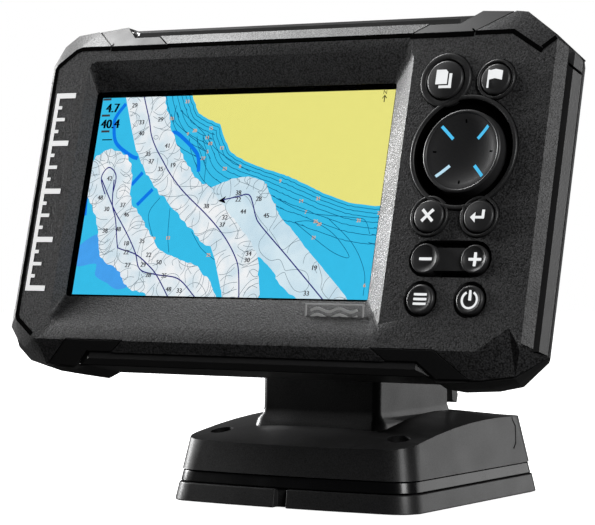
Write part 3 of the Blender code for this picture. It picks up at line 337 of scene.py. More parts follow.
def make_face_seam():
    """Painted shadow: a flat black strip round the top and the left of the flat face, inside its edge, for
    the shade in the gap to the chamfer.
    """
    source = bmesh.new()
    source.from_mesh(frame["nodes"]["front_cover"].data)
    bmesh.ops.remove_doubles(source, verts=source.verts, dist=SAME_POINT)
    source.transform(DISPLAY.inverted() @ Matrix.Scale(1.0 / MM, 4))
    source.normal_update()
    made = bmesh.new()
    for edge in source.edges:
        if len(edge.link_faces) != 2 or any(abs(vertex.co.y) > 0.05 for vertex in edge.verts):
            continue
        flat, slope = sorted(edge.link_faces, key=lambda face: face.normal.y)
        middle = (edge.verts[0].co + edge.verts[1].co) / 2
        at_top = slope.normal.z > 0.3 and middle.z > SHADOW_STRIP_ABOVE
        at_left = slope.normal.x < -0.3 and middle.x < SHADOW_STRIP_LEFT_OF
        if flat.normal.y > -0.99 or slope.normal.y < -0.97 or not (at_top or at_left):
            continue
        inwards = flat.normal.cross(edge.verts[1].co - edge.verts[0].co).normalized()
        if inwards.dot(middle) > 0:
            inwards.negate()
        verts = [made.verts.new(vertex.co + flat.normal * SHADOW_STRIP_LIFT + inwards * reach)
                 for reach in SHADOW_STRIP_SPAN for vertex in edge.verts]
        made.faces.new((verts[0], verts[1], verts[3], verts[2]))
    source.free()
    finish_piece("face_painted_shadow", made, "display", SHADOW)


def repaint_nodes():
    """Gives every node of the CAD the finish of its slot."""
    finishes = {
        "stainless_steel": STEEL, "seal_rubber": RUBBER, "tinned_steel": TIN, "circuit_board": BOARD,
        "antenna_ceramic": CERAMIC, "window_glass": GLASS, "key_plastic": KEYS, "stand_plastic": STAND,
        "rear_plastic": REAR, "band_gloss": BAND_BLACK_WITH_PAINTED_SHADE, "insert_plastic": INSERT, "case_plastic": CASE,
        "lit_screen": SHADOW,
    }
    for row in frame["record"]["subparts"]:
        for place in frame["nodes"][row["node"]].material_slots:
            place.material = finishes[row["material_slot"]]


make_housings()
make_face_seam()
repaint_nodes()


# ---------------------------------------------------------------- keypad

# the middle of each key on the face: x, z
PAGES, WAYPOINT = (54.9, 32.9), (71.45, 32.7)
EXIT, ENTER = (55.3, -8.4), (71.6, -8.5)
MENU, POWER = (55.6, -33.0), (71.7, -33.0)
PAD = (63.7, 10.9)
PAD_RADIUS = 12.75
ZOOM = (63.65, -21.0)
ZOOM_REACH = 8.05

# body, middle, cap radius, how far the cap stands proud, how deep its middle is hollowed
BUTTONS = (
    ("pages", PAGES, 5.9, 1.35, -0.45),
    ("waypoint", WAYPOINT, 4.7, 1.15, -0.4),
    ("exit", EXIT, 4.85, 1.15, -0.4),
    ("enter", ENTER, 4.8, 1.15, -0.4),
    ("menu", MENU, 4.45, 0.45, 0.7),
    ("power", POWER, 4.35, 0.45, 0.7),
)
# middle, outer radius, inner radius
RIMS = ((PAGES, 8.3, 6.3), (WAYPOINT, 6.1, 5.1), (EXIT, 6.1, 5.25), (ENTER, 6.1, 5.2), (PAD, 17.4, 16.0))
RIM_FRONT, RIM_BACK = -0.9, 0.6
ROLL = 0.75  # radius of a cap's edge


def cap_profile(radius, proud, hollow):
    """A key's section from its middle outwards: a dome or a dish, a rolled edge, a skirt and a stem."""
    points = []
    steps = 10
    for i in range(steps + 1):
        t = i / steps
        points.append(((radius - ROLL) * t, -proud + hollow * (1.0 - t * t)))
    points += arc((radius - ROLL, -proud + ROLL), ROLL, -90, 0)[1:]
    points += [(radius, 2.8), (radius + 0.9, 2.8), (radius + 0.9, 3.6), (2.0, 3.6), (2.0, 7.2), (0.0, 7.2)]
    return points


def make_keys():
    for body, middle, radius, proud, hollow in BUTTONS:
        bm = bmesh.new()
        turned(bm, cap_profile(radius, proud, hollow), *middle)
        finish_piece(f"button_{body}_cap", bm, body, KEYS, [f"button_{body}"])


def make_rims():
    bm = bmesh.new()
    for middle, outer, inner in RIMS:
        bead = min(0.5, (outer - inner) * 0.45)
        profile = [(inner, RIM_BACK)] + arc((inner + bead, RIM_FRONT + bead), bead, 180, 270, 4)
        profile += arc((outer - bead, RIM_FRONT + bead), bead, 270, 360, 4) + [(outer, RIM_BACK)]
        turned(bm, profile, *middle, 96, True)
    finish_piece("keypad_rims", bm, "display", RIM_SKIN, ["keypad_trim"])


# the pad's dish: radius, depth
PAD_DISH = ((0.0, 0.30), (2.0, 0.28), (4.0, 0.18), (6.0, -0.02), (8.0, -0.40), (9.8, -0.88), (11.1, -1.36))


def dish_depth(radius):
    """How deep the pad's dish is at a radius."""
    for (r0, d0), (r1, d1) in zip(PAD_DISH, PAD_DISH[1:]):
        if radius <= r1:
            return d0 + (d1 - d0) * (radius - r0) / (r1 - r0)
    return PAD_DISH[-1][1]


def dish_mark(bm, angle, reach, width):
    """A straight raised mark on the dish, from one radius to another."""
    along = Vector((math.cos(math.radians(angle)), math.sin(math.radians(angle))))
    across = Vector((-along.y, along.x)) * width / 2
    rings = []
    steps = 8
    for i in range(steps + 1):
        radius = reach[0] + (reach[1] - reach[0]) * i / steps
        middle = Vector(PAD) + along * radius
        top = dish_depth(radius) - 0.06
        corners = ((-1, top), (1, top), (1, top + 0.4), (-1, top + 0.4))
        rings.append([bm.verts.new((middle.x + way * across.x, depth, middle.y + way * across.y))
                      for way, depth in corners])
    for before, after in zip(rings, rings[1:]):
        for k in range(4):
            bm.faces.new((before[k], before[(k + 1) % 4], after[(k + 1) % 4], after[k]))
    bm.faces.new(rings[0])
    bm.faces.new(rings[-1])


def make_pad():
    bm = bmesh.new()
    profile = list(PAD_DISH) + arc((12.0, -1.16), 0.62, 200, 330, 8)
    profile += [(PAD_RADIUS - 0.1, -0.4), (PAD_RADIUS, 1.2), (PAD_RADIUS + 0.05, 3.7)]
    profile += [(14.6, 3.7), (14.6, 4.5), (3.2, 4.5), (3.2, 6.9), (0.0, 6.9)]
    turned(bm, profile, *PAD, 96)
    finish_piece("direction_pad_cap", bm, "direction_pad", PAD_SKIN, ["direction_pad"])
    lights = (("pad_lights", (45, 135, 315), BLUE_MARK), ("pad_light_pale", (225,), PALE_MARK))
    for name, angles, material in lights:
        marks = bmesh.new()
        for angle in angles:
            dish_mark(marks, angle, (5.7, 10.7), 0.95)
        finish_piece(name, marks, "direction_pad", material)
    ticks = bmesh.new()
    for angle in (0, 90, 180, 270):
        dish_mark(ticks, angle, (8.7, 9.7), 0.5)
    finish_piece("pad_ticks", ticks, "direction_pad", SHADOW)
    # painted shade: a black lining in front of the recess floor and along its outer wall, round the pad
    recess_shade = bmesh.new()
    recess_shade_outline = [(13.3, 1.6), (15.88, 1.6), (15.88, -0.5), (15.97, -0.5), (15.97, 1.68), (13.3, 1.68)]
    turned(recess_shade, recess_shade_outline, *PAD, 96, True)
    finish_piece("pad_recess_painted_shade", recess_shade, "display", SHADOW)


def make_zoom_key():
    """A rocker: two dished caps on a plate, with a lower bridge between them."""
    bm = bmesh.new()
    x, z = ZOOM
    slab(bm, bar(x, z, 2 * ZOOM_REACH, 6.8), 0.45, 4.3)
    for side, radius in ((-1, 4.5), (1, 4.25)):
        profile = [(0.0, 0.42), (1.2, 0.38), (2.2, 0.22), (3.0, -0.02), (radius - 0.8, -0.34)]
        profile += arc((radius - 0.42, -0.18), 0.42, 215, 360, 7)
        profile += [(radius, 4.1), (radius + 0.9, 4.1), (radius + 0.9, 4.9)]
        profile += [(2.0, 4.9), (2.0, 7.0), (0.0, 7.0)]
        turned(bm, profile, x + side * ZOOM_REACH, z)
    finish_piece("zoom_key", bm, "zoom", KEYS, ["zoom_rocker"])


# ---------------------------------------------------------------- legends

# depth of the marks' faces: on the pages key, on the other domed keys, on dished keys, on the zoom caps
PAGES_FACE, DOME_FACE, DISH_FACE, ZOOM_FACE = -1.86, -1.60, -0.2, -0.05
MARK_LIFT = 0.05  # how far flat marks stand off the case


def legend(name, body, middle, level, outlines, material=KEY_LIGHT, sink=0.9):
    """Flat marks on a key: outlines are around its middle, level is the depth of their face."""
    bm = bmesh.new()
    for outline in outlines:
        slab(bm, [(middle[0] + dx, middle[1] + dz) for dx, dz in outline], level, level + sink)
    finish_piece(name, bm, body, material)


def ring_outline(radius, width, start, stop, steps=20):
    """Part of a flat ring, from one angle in degrees to another."""
    angles = [math.radians(start + (stop - start) * i / steps) for i in range(steps + 1)]
    outer = [(radius * math.cos(a), radius * math.sin(a)) for a in angles]
    inner = [((radius - width) * math.cos(a), (radius - width) * math.sin(a)) for a in reversed(angles)]
    return outer + inner


def bar(cx, cz, width, height):
    """A rectangle round a middle."""
    return [(cx - width / 2, cz - height / 2), (cx + width / 2, cz - height / 2),
            (cx + width / 2, cz + height / 2), (cx - width / 2, cz + height / 2)]


def make_legends():
    sheets = [
        [(-2.6, -1.6), (1.2, -1.6), (1.2, 2.1), (0.5, 2.8), (-2.6, 2.8)],
        [(-1.4, -2.8), (2.6, -2.8), (2.6, 1.6), (1.75, 1.6), (1.75, -2.05), (-1.4, -2.05)],
    ]
    legend("pages_mark", "pages", PAGES, PAGES_FACE, sheets)
    cloth = [(-1.8, -0.4), (0.1, 0.0), (2.4, -0.5), (2.4, 2.3), (0.2, 2.8), (-1.8, 2.4)]
    legend("waypoint_mark", "waypoint", WAYPOINT, DOME_FACE, [bar(-2.0, -0.1, 0.5, 5.4), cloth])
    cross = stroke([(-1.45, -1.4), (1.45, 1.4)], 0.9) + stroke([(-1.45, 1.4), (1.45, -1.4)], 0.9)
    legend("exit_mark", "exit", EXIT, DOME_FACE, cross)
    arrow_head = [(-2.3, -0.5), (-0.7, 1.0), (-0.7, -2.0)]
    turn_back = [bar(0.5, -0.5, 3.2, 0.75), bar(1.8, 0.55, 0.8, 2.4), arrow_head]
    legend("enter_mark", "enter", ENTER, DOME_FACE, turn_back)
    lines = [bar(0.0, height, 4.2, 0.66) for height in (1.4, 0.0, -1.4)]
    legend("menu_mark", "menu", MENU, DISH_FACE, lines)
    power = [ring_outline(2.75, 0.62, 118, 422), bar(0.0, 1.7, 0.72, 3.6)]
    legend("power_mark", "power", POWER, DISH_FACE, power)
    minus = [bar(0, 0, 4.0, 0.75)]
    legend("minus_mark", "zoom", (ZOOM[0] - ZOOM_REACH, ZOOM[1]), ZOOM_FACE, minus)
    plus = minus + [bar(0, 1.2, 0.75, 1.65), bar(0, -1.2, 0.75, 1.65)]
    legend("plus_mark", "zoom", (ZOOM[0] + ZOOM_REACH, ZOOM[1]), ZOOM_FACE, plus)
    legend("pad_badge", "display", (63.5, -5.1), -0.06, [bar(0.0, 0.0, 3.6, 0.8)], SHADOW, 0.2)


def make_depth_scale():
    """A plain depth scale along the left of the frame: long and short ticks beside a broad bar."""
    bm = bmesh.new()
    left, right, low, high = -87.4, -79.8, -31.8, 31.8
    count = 16
    shares = (1.0, 0.38, 0.62, 0.38)
    long_tick, short_tick, spine = 1.7, 1.1, 1.4
    for i in range(count + 1):
        length = (right - left) * shares[i % 4]
        height = long_tick if i % 4 == 0 else short_tick
        slab(bm, bar(left + length / 2, low + (high - low) / count * i, length, height), -0.06, 0.2)
    slab(bm, bar(left + spine / 2, 0.0, spine, high - low + long_tick), -MARK_LIFT, 0.2)
    finish_piece("depth_scale", bm, "display", WHITE_PRINT_PAINTED_GLOW)


def make_badge():
    """Three waves on the slope under the screen."""
    bm = bmesh.new()
    outer_z, inner_z, slope_depth = -43.5, -33.2, 3.75
    lean_back = Matrix.Rotation(math.atan2(slope_depth, inner_z - outer_z), 4, "X")
    half_width, row_pitch, swell, steps = 7.6, 1.9, 0.5, 24
    for row in range(3):
        points = []
        for i in range(steps + 1):
            t = i / steps
            wave = swell * math.sin(t * math.pi * 4)
            points.append((-half_width + 2 * half_width * t, row_pitch - row_pitch * row + wave))
        for outline in stroke(points, 0.75):
            slab(bm, outline, -MARK_LIFT, 0.25)
    border = [(-10.2, -3.6), (9.4, -3.6), (10.2, 3.6), (-9.4, 3.6)]
    for outline in stroke(border, 0.4, True):
        slab(bm, outline, -MARK_LIFT, 0.25)
    bm.transform(lean_back)
    bm.transform(Matrix.Translation((26.5, slope_depth * 0.5, (outer_z + inner_z) / 2)))
    finish_piece("wave_badge", bm, "display", GREY_PRINT_PAINTED_GLOW)


# ---------------------------------------------------------------- screen

ACTIVE = (-73.0, 35.0, -32.3, 32.5)  # the lit area: left, right, bottom, top
WINDOW = (-77.6, 39.2, -36.8, 37.6)  # the black border's outer edge, the same way
LCD_FRONT = 5.8
LAYER = 0.012  # from one drawn layer of the chart to the next
EDGE_STEPS = 14  # points for each stretch of a sounded band's edge


def smooth_line(points, steps=6, closed=False):
    """A smooth curve through the points."""
    count = len(points)
    out = []
    spans = count if closed else count - 1
    for i in range(spans):
        if closed:
            around = [points[(i + k - 1) % count] for k in range(4)]
        else:
            around = [points[min(max(i + k - 1, 0), count - 1)] for k in range(4)]
        p0, p1, p2, p3 = (Vector(p) for p in around)
        for k in range(steps):
            t = k / steps
            out.append(tuple(0.5 * (2 * p1 + (p2 - p0) * t + (2 * p0 - 5 * p1 + 4 * p2 - p3) * t * t
                                    + (3 * p1 - p0 - 3 * p2 + p3) * t ** 3)))
    if not closed:
        out.append(tuple(points[-1]))
    return out


def wavy(points, size, pitch, seed):
    """The line with small scallops across it."""
    out = []
    for i, point in enumerate(points):
        before, after = Vector(points[max(i - 1, 0)]), Vector(points[min(i + 1, len(points) - 1)])
        along = after - before
        side = Vector((-along.y, along.x)).normalized() if along.length > 0 else Vector((0, 0))
        wave = noise.noise(Vector((point[0] / pitch, point[1] / pitch, seed)))
        out.append(tuple(Vector(point) + side * size * wave))
    return out


def layer_depth(level):
    """Depth of a layer of the chart; higher levels lie on top."""
    return LCD_FRONT - 0.02 - LAYER * level


def draw_area(name, outline, level, material):
    bm = bmesh.new()
    bm.faces.new([bm.verts.new((x, layer_depth(level), z)) for x, z in outline])
    bmesh.ops.triangulate(bm, faces=bm.faces)
    screen_piece(name, bm, material)


def ribbon(bm, points, width, level):
    """Adds a flat line of constant width."""
    last = None
    for i, point in enumerate(points):
        before, after = Vector(points[max(i - 1, 0)]), Vector(points[min(i + 1, len(points) - 1)])
        along = after - before
        if along.length < 1e-6:
            continue
        side = Vector((-along.y, along.x)).normalized() * width / 2
        pair = [bm.verts.new((point[0] + way * side.x, layer_depth(level), point[1] + way * side.y))
                for way in (-1, 1)]
        if last:
            bm.faces.new((last[0], last[1], pair[1], pair[0]))
        last = pair


def screen_piece(name, bm, material):
    """A part of the picture: nothing of it reaches past the lit area."""
    left, right, low, high = ACTIVE
    for point, normal in (((left, 0, 0), (-1, 0, 0)), ((right, 0, 0), (1, 0, 0)),
                          ((0, 0, low), (0, 0, -1)), ((0, 0, high), (0, 0, 1))):
        everything = bm.verts[:] + bm.edges[:] + bm.faces[:]
        bmesh.ops.bisect_plane(bm, geom=everything, plane_co=point, plane_no=normal, clear_outer=True)
    finish_piece(name, bm, "display", material)


def draw_lines(name, lines, width, level, material):
    bm = bmesh.new()
    for line in lines:
        ribbon(bm, line, width, level)
    screen_piece(name, bm, material)


def draw_text(name, words, level, material):
    """Flat letters; words are (text, x, z, height)."""
    bm = bmesh.new()
    upright = Matrix.Rotation(math.radians(90), 4, "X")
    for text, x, z, height in words:
        letters = bpy.data.curves.new("letters", "FONT")
        letters.body = text
        letters.size = height * 1.4
        letters.align_x = "CENTER"
        letters.align_y = "CENTER"
        letters.resolution_u = 3
        holder = bpy.data.objects.new("letters", letters)
        flat = bpy.data.meshes.new_from_object(holder)
        flat.transform(Matrix.Translation((x, layer_depth(level), z)) @ upright)
        bm.from_mesh(flat)
        bpy.data.objects.remove(holder)
        bpy.data.meshes.remove(flat)
        bpy.data.curves.remove(letters)
    screen_piece(name, bm, material)


SHORE = [(-39.5, 36.0), (-38.7, 33.2), (-37.2, 30.3), (-34.9, 26.7), (-29.6, 24.1), (-25.9, 22.4),
         (-24.6, 19.4), (-22.6, 16.4), (-21.1, 14.1), (-17.4, 12.0), (-13.4, 10.2), (-6.6, 8.0),
         (-1.6, 6.7), (4.5, 4.7), (10.0, 2.4), (15.7, 0.1), (24.0, -2.4), (33.3, -3.6), (38.0, -4.0)]
TRACK_ONE = [(-57.6, 36.0), (-57.1, 33.1), (-53.5, 24.6), (-51.9, 19.9), (-49.3, 15.5), (-45.8, 11.1),
             (-42.4, 7.0), (-36.5, 1.3), (-27.5, -5.5), (-22.5, -9.6), (-17.8, -14.2), (-13.9, -19.2),
             (-11.8, -23.5), (-10.2, -31.9), (-10.0, -35.0)]
SWATH_ONE_LEFT = [(-65.0, 36.0), (-63.8, 33.0), (-59.8, 23.0), (-56.8, 15.2), (-51.3, 7.1), (-44.7, 0.4),
                  (-36.7, -6.5), (-28.5, -13.3), (-23.2, -16.9), (-20.5, -20.9), (-17.1, -29.8),
                  (-15.5, -35.0)]
SWATH_ONE_RIGHT = [(-50.2, 36.0), (-49.2, 32.9), (-45.9, 24.4), (-42.8, 18.4), (-37.7, 11.3),
                   (-31.2, 4.6), (-26.6, 2.3), (-19.0, -5.0), (-12.0, -11.5), (-7.5, -17.0),
                   (-5.0, -21.0), (-4.2, -25.9), (-2.6, -35.0)]
SWATH_TWO_UPPER = [(-26.6, 2.3), (-22.3, 3.9), (-18.1, 5.3), (-12.6, 5.6), (-9.9, 5.4), (-7.0, 3.8),
                   (-4.5, 0.6), (-2.4, -2.8), (0.2, -6.6), (6.0, -11.6), (13.7, -19.0), (19.1, -24.0),
                   (27.4, -31.6), (30.5, -35.0)]
SWATH_TWO_LOWER = [(12.5, -35.0), (9.7, -31.9), (6.4, -30.1), (2.3, -26.5), (1.6, -24.8), (-4.2, -20.0),
                   (-8.0, -19.0), (-16.0, -12.0), (-24.0, -4.0)]
TRACK_TWO = [(-21.0, -1.5), (-15.3, -0.4), (-13.1, 0.2), (-11.4, -0.4), (-9.9, -3.1), (-8.4, -6.6),
             (-5.9, -9.8), (5.4, -19.7), (19.2, -32.1), (22.0, -34.6)]
SWATH_THREE_RIGHT = [(-77.0, 7.0), (-74.0, 10.4), (-72.2, 12.7), (-69.7, 14.4), (-65.8, 15.0),
                     (-59.8, 12.6), (-57.0, 7.8), (-56.7, 0.0), (-50.4, -7.9), (-44.3, -15.0),
                     (-41.4, -18.1), (-33.4, -20.7), (-28.9, -22.0), (-24.5, -24.6), (-21.8, -27.2),
                     (-19.0, -31.8), (-17.5, -35.0)]
SWATH_THREE_LEFT = [(-43.0, -35.0), (-45.7, -31.6), (-51.6, -30.0), (-54.5, -27.3), (-56.7, -24.3),
                    (-63.0, -21.3), (-65.0, -18.2), (-67.5, -9.3), (-71.3, -3.1), (-73.9, 1.5),
                    (-77.0, 3.5)]
TRACK_THREE_LOOP = [(-66.3, 0.5), (-68.7, 5.9), (-66.4, 9.3), (-63.1, 6.6), (-63.3, 0.5)]
TRACK_THREE_A = [(-68.4, 5.3), (-62.1, -4.1), (-57.9, -9.3), (-54.1, -14.1), (-50.9, -18.8),
                 (-48.3, -23.9), (-42.0, -25.5), (-33.5, -26.7), (-27.2, -31.6), (-24.0, -34.6)]
TRACK_THREE_B = [(-63.6, 5.2), (-62.8, -2.7), (-60.6, -7.9), (-58.4, -16.1), (-57.2, -17.3),
                 (-50.8, -19.1), (-45.4, -22.5), (-41.6, -25.8), (-36.8, -31.8), (-35.0, -34.6)]
BLUE_ACCENTS = (
    [(-63.7, 30.4), (-66.7, 26.2), (-67.0, 23.2), (-65.1, 17.4), (-58.8, 13.2), (-55.8, 12.2)],
    [(-44.0, 20.4), (-41.6, 20.0), (-34.5, 14.6), (-32.6, 11.6), (-31.9, 7.6)],
    [(-53.0, 7.5), (-56.6, 3.5)],
    [(-48.2, 2.0), (-53.3, -3.1)],
    [(-73.5, 0.1), (-72.9, -6.5)],
)
DEEP_PATCH = [(-66.8, -12.7), (-65.4, -16.9), (-64.0, -20.3), (-57.1, -24.3), (-55.0, -27.0),
              (-56.2, -29.4), (-64.8, -26.4), (-65.6, -22.3), (-72.9, -23.1), (-74.1, -19.0),
              (-72.6, -15.9)]
DEEP_SPOT = [(-62.6, -24.4), (-57.6, -22.4), (-52.6, -25.2), (-51.6, -29.0), (-56.0, -30.4),
             (-60.6, -28.0)]
CONTOURS = (
    [(-44.0, 29.4), (-43.7, 24.4), (-38.1, 19.9), (-30.6, 14.2), (-29.2, 4.3)],
    [(-42.2, 27.7), (-32.9, 20.8), (-25.6, 14.1), (-12.9, 7.4)],
    [(-1.9, -1.1), (9.3, -5.5), (26.6, -7.2), (30.5, -8.2), (32.6, -12.2)],
    [(5.9, -8.6), (12.0, -8.4), (20.0, -12.2), (26.6, -19.2), (21.0, -18.0), (12.0, -12.6), (5.9, -8.6)],
    [(17.2, -7.2), (27.1, -15.2), (32.5, -23.8), (33.2, -31.0)],
    [(-44.9, -0.7), (-48.3, -6.2), (-45.1, -14.0)],
    [(-40.5, -4.2), (-39.8, -12.6), (-38.4, -18.4)],
    [(-31.1, -11.6), (-26.6, -17.0), (-21.0, -20.6)],
)


def inside(x, z, outline):
    """Whether a point lies in a closed outline."""
    within = False
    for (ax, az), (bx, bz) in zip(outline, outline[1:] + outline[:1]):
        if (az > z) != (bz > z) and x < ax + (z - az) * (bx - ax) / (bz - az):
            within = not within
    return within


def beside(line, distance, seed, wander=0.35, pitch=9.0):
    """A line drawn beside another at about that distance, as depth contours follow a shore."""
    out = []
    for i, point in enumerate(line):
        before, after = Vector(line[max(i - 1, 0)]), Vector(line[min(i + 1, len(line) - 1)])
        along = after - before
        side = Vector((along.y, -along.x)).normalized()
        push = distance * (1.0 + wander * noise.noise(Vector((point[0] / pitch, point[1] / pitch, seed))))
        out.append(tuple(Vector(point) + side * push))
    return out


def level_lines(outline, pitch, seed, steps, cell=0.6):
    """Iso-lines of a smooth random field inside an outline, as unconnected short strokes."""
    xs, zs = [p[0] for p in outline], [p[1] for p in outline]
    strokes = []

    def field(x, z):
        return steps * noise.noise(Vector((x / pitch, z / pitch, seed)))

    columns = int((max(xs) - min(xs)) / cell) + 1
    rows = int((max(zs) - min(zs)) / cell) + 1
    for i in range(columns):
        for j in range(rows):
            x, z = min(xs) + i * cell, min(zs) + j * cell
            if not inside(x + cell / 2, z + cell / 2, outline):
                continue
            corners = [(x, z), (x + cell, z), (x + cell, z + cell), (x, z + cell)]
            values = [field(*corner) for corner in corners]
            for value in range(int(math.floor(min(values))) + 1, int(math.floor(max(values))) + 1):
                crossings = []
                for k in range(4):
                    a, b = values[k], values[(k + 1) % 4]
                    if (a < value) != (b < value):
                        share = (value - a) / (b - a)
                        crossings.append(tuple(Vector(corners[k]).lerp(Vector(corners[(k + 1) % 4]), share)))
                if len(crossings) == 2:
                    strokes.append(crossings)
    return strokes


def ribs(edge, tracks, pitch, seed):
    """Depth lines from the edge of a sounded band in towards its track."""
    chance = random.Random(seed)
    lines = []
    walked, due = 0.0, 0.0
    for before, start in zip(edge, edge[1:]):
        walked += (Vector(start) - Vector(before)).length
        if walked < due:
            continue
        due = walked + pitch * chance.uniform(0.5, 1.7)
        target = min((point for track in tracks for point in track),
                     key=lambda point: (Vector(point) - Vector(start)).length)
        run = Vector(target) - Vector(start)
        side = Vector((-run.y, run.x))
        reach = chance.uniform(0.4, 0.95)
        bend = chance.uniform(-0.3, 0.3)
        drift = chance.uniform(-0.35, 0.35)
        line = []
        for i in range(11):
            t = i / 10
            sideways = bend * math.sin(math.pi * t) + drift * t * t
            line.append(tuple(Vector(start) + run * reach * t + side * sideways))
        lines.append(line)
    return lines


def spot_depths(lines, count, seed):
    """Small soundings scattered beside the tracks."""
    chance = random.Random(seed)
    left, right, low, high = ACTIVE
    words = []
    for line in lines:
        for _ in range(count):
            i = chance.randrange(len(line) - 1)
            x, z = Vector(line[i]).lerp(Vector(line[i + 1]), chance.random())
            x += chance.choice((-1, 1)) * chance.uniform(2.2, 5.5)
            z += chance.uniform(-1.5, 1.5)
            near = any(abs(x - other[1]) < 3.6 and abs(z - other[2]) < 2.0 for other in words)
            shown = left + 2 < x < right - 2 and low + 1.5 < z < high - 1.5
            if not near and shown:
                words.append((str(chance.randrange(18, 52)), x, z, 1.5))
    return words


def shallow_marks(lines, seed):
    """Small soundings along the contours in open water."""
    chance = random.Random(seed)
    words = []
    for line in lines:
        for i in range(chance.randrange(6, 16), len(line), 21):
            x, z = line[i]
            words.append((str(chance.randrange(4, 32)), x, z, 1.15))
    return words


def thicker(words, shift):
    """Each word three times over, a little apart, so that it prints bold."""
    return [(text, x + way * shift, z, height) for text, x, z, height in words for way in (-1, 0, 1)]


def make_chart():
    water = glowing("chart_water", (58, 187, 231), mottle=0.015)
    land = glowing("chart_land", (231, 226, 128), mottle=0.008)
    shallow = glowing("chart_swath", (240, 242, 244), mottle=0.0, shade=(206, 224, 234))
    pale = glowing("chart_swath_pale", (212, 231, 240), mottle=0.0, shade=(196, 220, 233))
    deep = glowing("chart_deep", (72, 158, 236))
    teal = glowing("chart_contour", (22, 98, 138))
    grey = glowing("chart_fine_line", (112, 128, 138))
    navy = glowing("chart_track", (40, 38, 118))
    accent = glowing("chart_accent", (22, 118, 232))
    ink = glowing("chart_ink", (14, 16, 22))
    faint = glowing("chart_sounding", (66, 66, 70))
    rust = glowing("chart_shoal_mark", (214, 172, 142))

    left, right, low, high = ACTIVE
    draw_area("chart_water", [(left, low), (right, low), (right, high), (left, high)], 0, water)
    one = wavy(smooth_line(SWATH_ONE_LEFT, EDGE_STEPS), 0.9, 2.0, 3.0)
    one_right = wavy(smooth_line(SWATH_ONE_RIGHT, EDGE_STEPS), 0.9, 1.9, 7.0)
    two = wavy(smooth_line(SWATH_TWO_UPPER, EDGE_STEPS), 0.5, 2.2, 11.0)
    two_low = wavy(smooth_line(SWATH_TWO_LOWER, EDGE_STEPS), 0.4, 2.2, 13.0)
    three = wavy(smooth_line(SWATH_THREE_RIGHT, EDGE_STEPS), 0.9, 2.0, 17.0)
    three_left = wavy(smooth_line(SWATH_THREE_LEFT, EDGE_STEPS), 0.9, 2.0, 19.0)
    swath_one, swath_two, swath_three = one + one_right[::-1], two + two_low, three + three_left
    draw_area("chart_deep", smooth_line(DEEP_PATCH, closed=True), 1, deep)
    draw_area("chart_deep_small", smooth_line(DEEP_SPOT, closed=True), 1, deep)
    shore = wavy(smooth_line(SHORE, 8), 0.3, 1.6, 23.0)
    nested = [beside(shore, gap, 3.0, 0.2, 14.0) for gap in (1.0, 2.2, 3.5, 5.0, 6.8, 8.9, 11.6)]
    loose = [smooth_line(line) for line in CONTOURS]
    draw_lines("chart_contours", nested + loose, 0.2, 2, teal)
    draw_text("chart_shoal_marks", thicker(shallow_marks(nested[1::2] + loose, 9), 0.1), 2, rust)
    draw_area("chart_swath_two", swath_two, 4, pale)
    draw_area("chart_swath_three", swath_three, 5, shallow)
    draw_area("chart_swath_one", swath_one, 6, shallow)
    tracks = [smooth_line(line) for line in (TRACK_ONE, TRACK_TWO, TRACK_THREE_A, TRACK_THREE_B)]
    track_one, track_two, track_a, track_b = tracks
    loop = smooth_line(TRACK_THREE_LOOP)
    fans = ribs(one, [track_one], 1.7, 5) + ribs(one_right, [track_one], 1.8, 6)
    bend = 6 * EDGE_STEPS
    fans += ribs(two[:bend], [track_two], 1.8, 7) + ribs(two[bend:], [track_two], 7.0, 8)
    fans += ribs(three, [track_a, track_b, loop], 1.6, 11)
    fans += ribs(three_left, [track_a, track_b, loop], 1.7, 12)
    draw_lines("chart_fans", fans, 0.15, 7, grey)
    rounds = level_lines(swath_one, 11.0, 31.0, 2.2) + level_lines(swath_three, 11.0, 37.0, 2.2)
    rounds += level_lines(swath_two, 14.0, 41.0, 2.4)
    draw_lines("chart_rounds", rounds, 0.15, 7, grey)
    draw_lines("chart_accents", [smooth_line(line) for line in BLUE_ACCENTS], 1.25, 3, accent)
    draw_lines("chart_tracks", tracks + [loop], 0.4, 9, navy)
    draw_area("chart_arrow", [(-22.9, -1.9), (-20.2, -0.3), (-20.7, -1.5), (-20.0, -2.7)], 9, ink)
    draw_area("chart_land", shore + [(60.0, -4.0), (60.0, 50.0), (-38.9, 50.0)], 11, land)
    draw_text("chart_soundings", thicker(spot_depths(tracks, 15, 4), 0.08), 12, faint)
    readings = [("4.7", -68.5, 28.9, 3.0), ("40.4", -68.5, 23.6, 3.0), ("---", -68.8, 18.8, 2.8)]
    draw_text("chart_readings", thicker(readings, 0.2), 12, ink)
    labels = [[(x - 1.6, z), (x + 1.6, z)] for x, z in ((-71.2, 32.0), (-70.8, 26.6), (-70.0, 21.3))]
    draw_lines("chart_labels", labels, 0.7, 12, faint)
    north = [[(31.4, 28.6), (31.4, 30.6)], [(30.7, 29.8), (31.4, 30.8), (32.1, 29.8)]]
    draw_lines("chart_north", north, 0.3, 12, ink)
    draw_text("chart_north_mark", [("N", 31.4, 31.7, 1.3)], 12, ink)


def make_screen_mask():
    """The black border between the lit area and the edge of the window."""
    left, right, low, high = ACTIVE
    far_left, far_right, bottom, top = WINDOW
    bm = bmesh.new()
    for x0, x1, z0, z1 in ((far_left, left, bottom, top), (right, far_right, bottom, top),
                           (left, right, bottom, low), (left, right, high, top)):
        slab(bm, [(x0, z0), (x1, z0), (x1, z1), (x0, z1)], LCD_FRONT - 0.27, LCD_FRONT - 0.2)
    finish_piece("window_mask", bm, "display", SHADOW)


make_keys()
make_rims()
make_pad()
make_zoom_key()
make_legends()
make_depth_scale()
make_badge()
make_chart()
make_screen_mask()


# ---------------------------------------------------------------- light, camera and floor

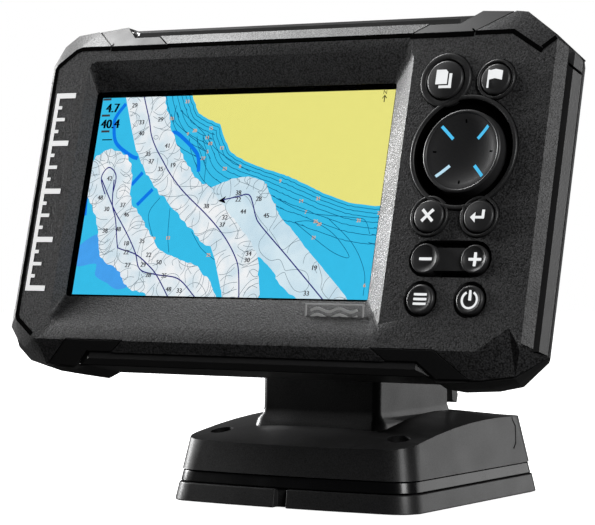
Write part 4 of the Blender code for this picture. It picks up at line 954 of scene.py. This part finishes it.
CAMERA_PLACE = (0.4156, -0.7099, 0.0884)
CAMERA_TURN = (89.0, 0.0, 31.70)
CAMERA_LENS = 156.06
FLOOR_RADIUS = 1.6
FLOOR_DROP = 0.0003
MIDDLE = (0.0, 0.0, 0.09)


def area_light(name, place, target, size, energy, height=None):
    light = bpy.data.lights.new(name, "AREA")
    light.shape = "RECTANGLE"
    light.energy = energy
    light.size = size
    light.size_y = height or size
    made = bpy.data.objects.new(name, light)
    made.location = place
    made.rotation_euler = (Vector(target) - Vector(place)).to_track_quat("-Z", "Y").to_euler()
    scene.collection.objects.link(made)


def make_camera():
    camera = bpy.data.cameras.new("camera")
    camera.sensor_width = 36.0
    camera.lens = CAMERA_LENS
    holder = bpy.data.objects.new("camera", camera)
    holder.location = CAMERA_PLACE
    holder.rotation_euler = [math.radians(turn) for turn in CAMERA_TURN]
    scene.collection.objects.link(holder)
    scene.camera = holder
    scene.view_settings.view_transform = "Standard"


def make_world():
    """White to the camera, and almost dark for everything the world would light."""
    world = bpy.data.worlds.new("studio")
    scene.world = world
    world.use_nodes = True
    nodes, links = world.node_tree.nodes, world.node_tree.links
    backdrop = nodes["Background"]
    backdrop.inputs["Color"].default_value = (1.0, 1.0, 1.0, 1.0)
    path = nodes.new("ShaderNodeLightPath")
    level = nodes.new("ShaderNodeMapRange")
    level.inputs["To Min"].default_value = 0.025
    level.inputs["To Max"].default_value = 1.0
    links.new(path.outputs["Is Camera Ray"], level.inputs["Value"])
    links.new(level.outputs["Result"], backdrop.inputs["Strength"])


def make_lights():
    area_light("overhead_left", (-0.36, 0.03, 0.58), (-0.05, -0.04, 0.12), 0.16, 3.2)
    area_light("left", (-1.26, 0.0, 0.40), MIDDLE, 0.35, 30.0)
    area_light("right_front", (1.05, -0.62, 0.58), MIDDLE, 0.45, 9.0)
    area_light("right_back", (0.75, 1.15, 0.24), MIDDLE, 1.1, 5.0, 0.7)


def make_floor():
    bm = bmesh.new()
    bmesh.ops.create_circle(bm, cap_ends=True, segments=96, radius=FLOOR_RADIUS)
    mesh = bpy.data.meshes.new("floor")
    bm.to_mesh(mesh)
    bm.free()
    floor = bpy.data.objects.new("floor", mesh)
    floor.location.z = -FLOOR_DROP
    mesh.materials.append(surface("floor_paper", (0.80, 0.80, 0.80), 0.9, grain=2.0, speckle=0.004,
                                  bump=0.01, specular=0.1, glow=0.95))
    scene.collection.objects.link(floor)
    floor.visible_diffuse = False
    floor.visible_glossy = False


make_camera()
make_world()
make_lights()
make_floor()
